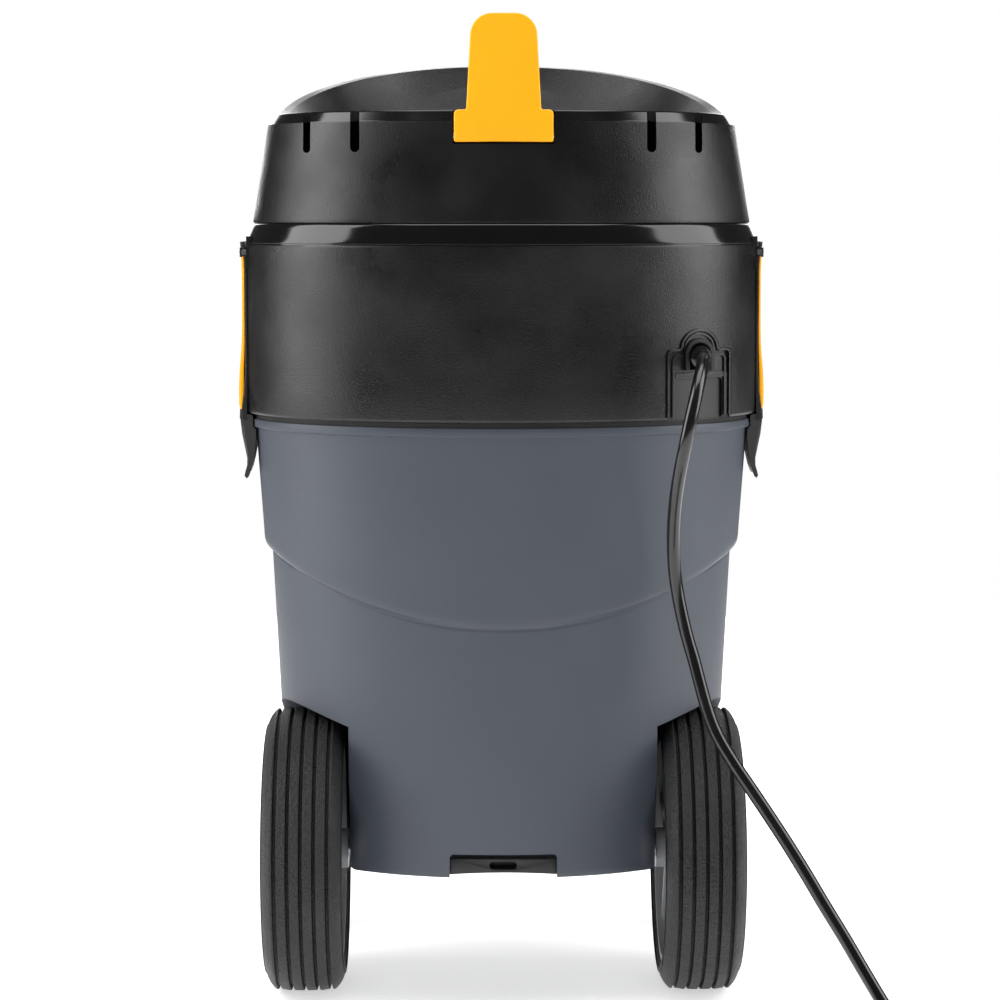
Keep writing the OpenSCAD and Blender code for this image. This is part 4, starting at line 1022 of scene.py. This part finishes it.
dress(build_entry(), "trim_black", "head", ["cable_entry"])
frame_parts = [
    ridge("outlet_frame_outer", house_path(22.6, OUTLET_Z + 4.6, 13.2, 410.5), 2.2, 1.5),
    ridge("outlet_frame_inner", house_path(18.9, OUTLET_Z + 0.9, 10.6, 410.5), 1.5, 0.1, -2.2),
]
for part in frame_parts:
    dress(part, "head_black", "head")
bar_path = [(OUTLET_X + x, OUTLET_Z - 12.5) for x in (-17.5, -6, 6, 17.5)]
dress(ridge("outlet_bar", bar_path, 3.4, 0.6, -2.2), "head_black", "head")
rib_path = [(OUTLET_X - 19.6, 411), (OUTLET_X - 19.6, 424), (OUTLET_X - 19.6, 440)]
dress(ridge("outlet_rib", rib_path, 1.6, 0.2, -2.2), "head_black", "head")

collar_path = [(GROMMET_R, -9), (GROMMET_R, -4), (GROMMET_R, 2)]
for k in range(1, 12):
    a = math.pi * k / 12
    collar_path.append((GROMMET_R * math.cos(a), 2 + GROMMET_R * math.sin(a)))
collar_path += [(-GROMMET_R, 2), (-GROMMET_R, -4), (-GROMMET_R, -9)]
collar = ridge("grommet_collar", [(OUTLET_X + x, OUTLET_Z + z) for x, z in collar_path], 3.2, 2.6, -7)
dress(collar, "seal_rubber", "head")
plate_outline = arc(OUTLET_X, OUTLET_Z + 2, GROMMET_R, 0, 180, 20)
plate_outline += [(OUTLET_X - GROMMET_R, OUTLET_Z - 10), (OUTLET_X + GROMMET_R, OUTLET_Z - 10)]
plate = prism("grommet_plate", plate_outline, 136, 156)
dress(bevel(plate, 0.6), "seal_rubber", "head", ["cord_grommet"])
relief_profile = [(CORD_R + 0.02, 150), (8.2, 150), (8.2, 157), (7.8, 158)]
for k in range(5):
    at = 158.6 + 4.0 * k
    radius = 7.7 - 0.42 * k
    relief_profile += [(radius, at), (radius, at + 2.2), (radius - 0.7, at + 2.6), (radius - 0.7, at + 3.6)]
relief_profile += [(5.5, 179.4), (5.1, 180.4), (CORD_R + 0.02, 180.6)]
relief = revolve("strain_relief", relief_profile, (OUTLET_X, 0, OUTLET_Z), "y", 48)
dress(relief, "cord_rubber", "head")

# ---- Handle in the dish ----


def build_handle():
    """Rounded bar that bridges the dish, on two splayed feet."""
    back = HOOK_Y - 16
    front = YW - FRONT * DISH_A / HW + 12
    top = COVER_TOP + 27
    line = [
        (back - 8, DISH_Z - 1), (back - 8, DISH_Z + 14), (back - 12, COVER_TOP - 6),
        (back - 26, COVER_TOP + 8),
        (back - 52, top - 12), (back - 90, top - 9), ((back + front) / 2 - 6, top - 7), (front + 64, top - 6),
        (front + 40, top - 7), (front + 24, top - 14), (front + 16, COVER_TOP), (front + 14, DISH_Z + 14),
        (front + 14, DISH_Z - 1),
    ]
    path = spline([(0, y, z) for y, z in line], 3)
    along = np.gradient(path, axis=0)
    along /= np.linalg.norm(along, axis=1)[:, None]
    rings = []
    for p, d in zip(path, along):
        lift = min(1.0, max(0.0, (p[2] - DISH_Z) / 30))
        flare = 1 + 0.35 * (1 - lift) ** 2
        across, deep = 16.4 * flare, 9.0 * (1 + 0.3 * (1 - lift) ** 2)
        normal = np.array([0, -d[2], d[1]])
        section = []
        for k in range(40):
            a = TURN * k / 40
            x = across * spow(math.cos(a), 0.7)
            n = deep * spow(math.sin(a), 0.7)
            section.append(tuple(p + np.array([x, 0, 0]) + n * normal))
        rings.append(section)
    return loft("carry_grip", rings, angle=60)


dress(build_handle(), "trim_black", "head", ["carry_handle"])

# ---- Other CAD nodes keep their shape and take the finish of their slot ----

NODE_SLOT = {part["node"]: part["material_slot"] for part in frame["record"]["subparts"]}
for node, obj in frame["nodes"].items():
    if obj.hide_render:
        continue
    for place in obj.material_slots:
        place.material = FINISH[NODE_SLOT[node]]
    if not obj.material_slots:
        obj.data.materials.append(FINISH[NODE_SLOT[node]])

# ---- Floor and light ----

floor_outline = [(1900 * math.cos(TURN * k / 96), 1900 * math.sin(TURN * k / 96)) for k in range(96)]
floor = prism("floor", floor_outline, -6, -0.05, "z")
floor.data.materials.append(FINISH["floor"])
floor_shader = FINISH["floor"].node_tree.nodes["Principled BSDF"]
floor_shader.inputs["Emission Color"].default_value = (1, 1, 1, 1)
floor_shader.inputs["Emission Strength"].default_value = 0.55


def softbox(name, place, aim, width, height, power, mirrored=True):
    data = bpy.data.lights.new(name, "AREA")
    data.shape = "RECTANGLE"
    data.size = width * MM
    data.size_y = height * MM
    data.energy = power
    lamp = bpy.data.objects.new(name, data)
    bpy.context.scene.collection.objects.link(lamp)
    lamp.location = [MM * c for c in place]
    lamp.visible_glossy = mirrored
    lamp.rotation_euler = (Vector(aim) - Vector(place)).to_track_quat("-Z", "Y").to_euler()


softbox("left_light", (1900, 400, 1250), (0, 60, 400), 1300, 2300, 46)
softbox("right_light", (-1900, 400, 1250), (0, 60, 400), 1300, 2300, 38)
softbox("top_light", (0, 200, 2300), (0, 60, 300), 1600, 1400, 22)
softbox("far_light", (0, -2300, 1300), (0, 0, 300), 2400, 1500, 34)
softbox("fill_light", (200, 2700, 1150), (0, 150, 450), 1600, 1100, 14, mirrored=False)

world = bpy.data.worlds.new("studio")
bpy.context.scene.world = world
world.use_nodes = True
nodes = world.node_tree.nodes
link = world.node_tree.links.new
nodes.clear()
world_out = nodes.new("ShaderNodeOutputWorld")
ray = nodes.new("ShaderNodeLightPath")
white = nodes.new("ShaderNodeBackground")
white.inputs["Color"].default_value = (1, 1, 1, 1)
white.inputs["Strength"].default_value = 1.0
dim = nodes.new("ShaderNodeBackground")
dim.inputs["Color"].default_value = (1, 1, 1, 1)
dim.inputs["Strength"].default_value = 0.06
soft = nodes.new("ShaderNodeBackground")
soft.inputs["Color"].default_value = (1, 1, 1, 1)
soft.inputs["Strength"].default_value = 0.30
choose = nodes.new("ShaderNodeMixShader")
link(ray.outputs["Is Glossy Ray"], choose.inputs[0])
link(soft.outputs["Background"], choose.inputs[1])
link(dim.outputs["Background"], choose.inputs[2])
seen = nodes.new("ShaderNodeMixShader")
link(ray.outputs["Is Camera Ray"], seen.inputs[0])
link(choose.outputs["Shader"], seen.inputs[1])
link(white.outputs["Background"], seen.inputs[2])
link(seen.outputs["Shader"], world_out.inputs["Surface"])
bpy.context.scene.view_settings.view_transform = "Standard"
bpy.context.scene.view_settings.look = "None"
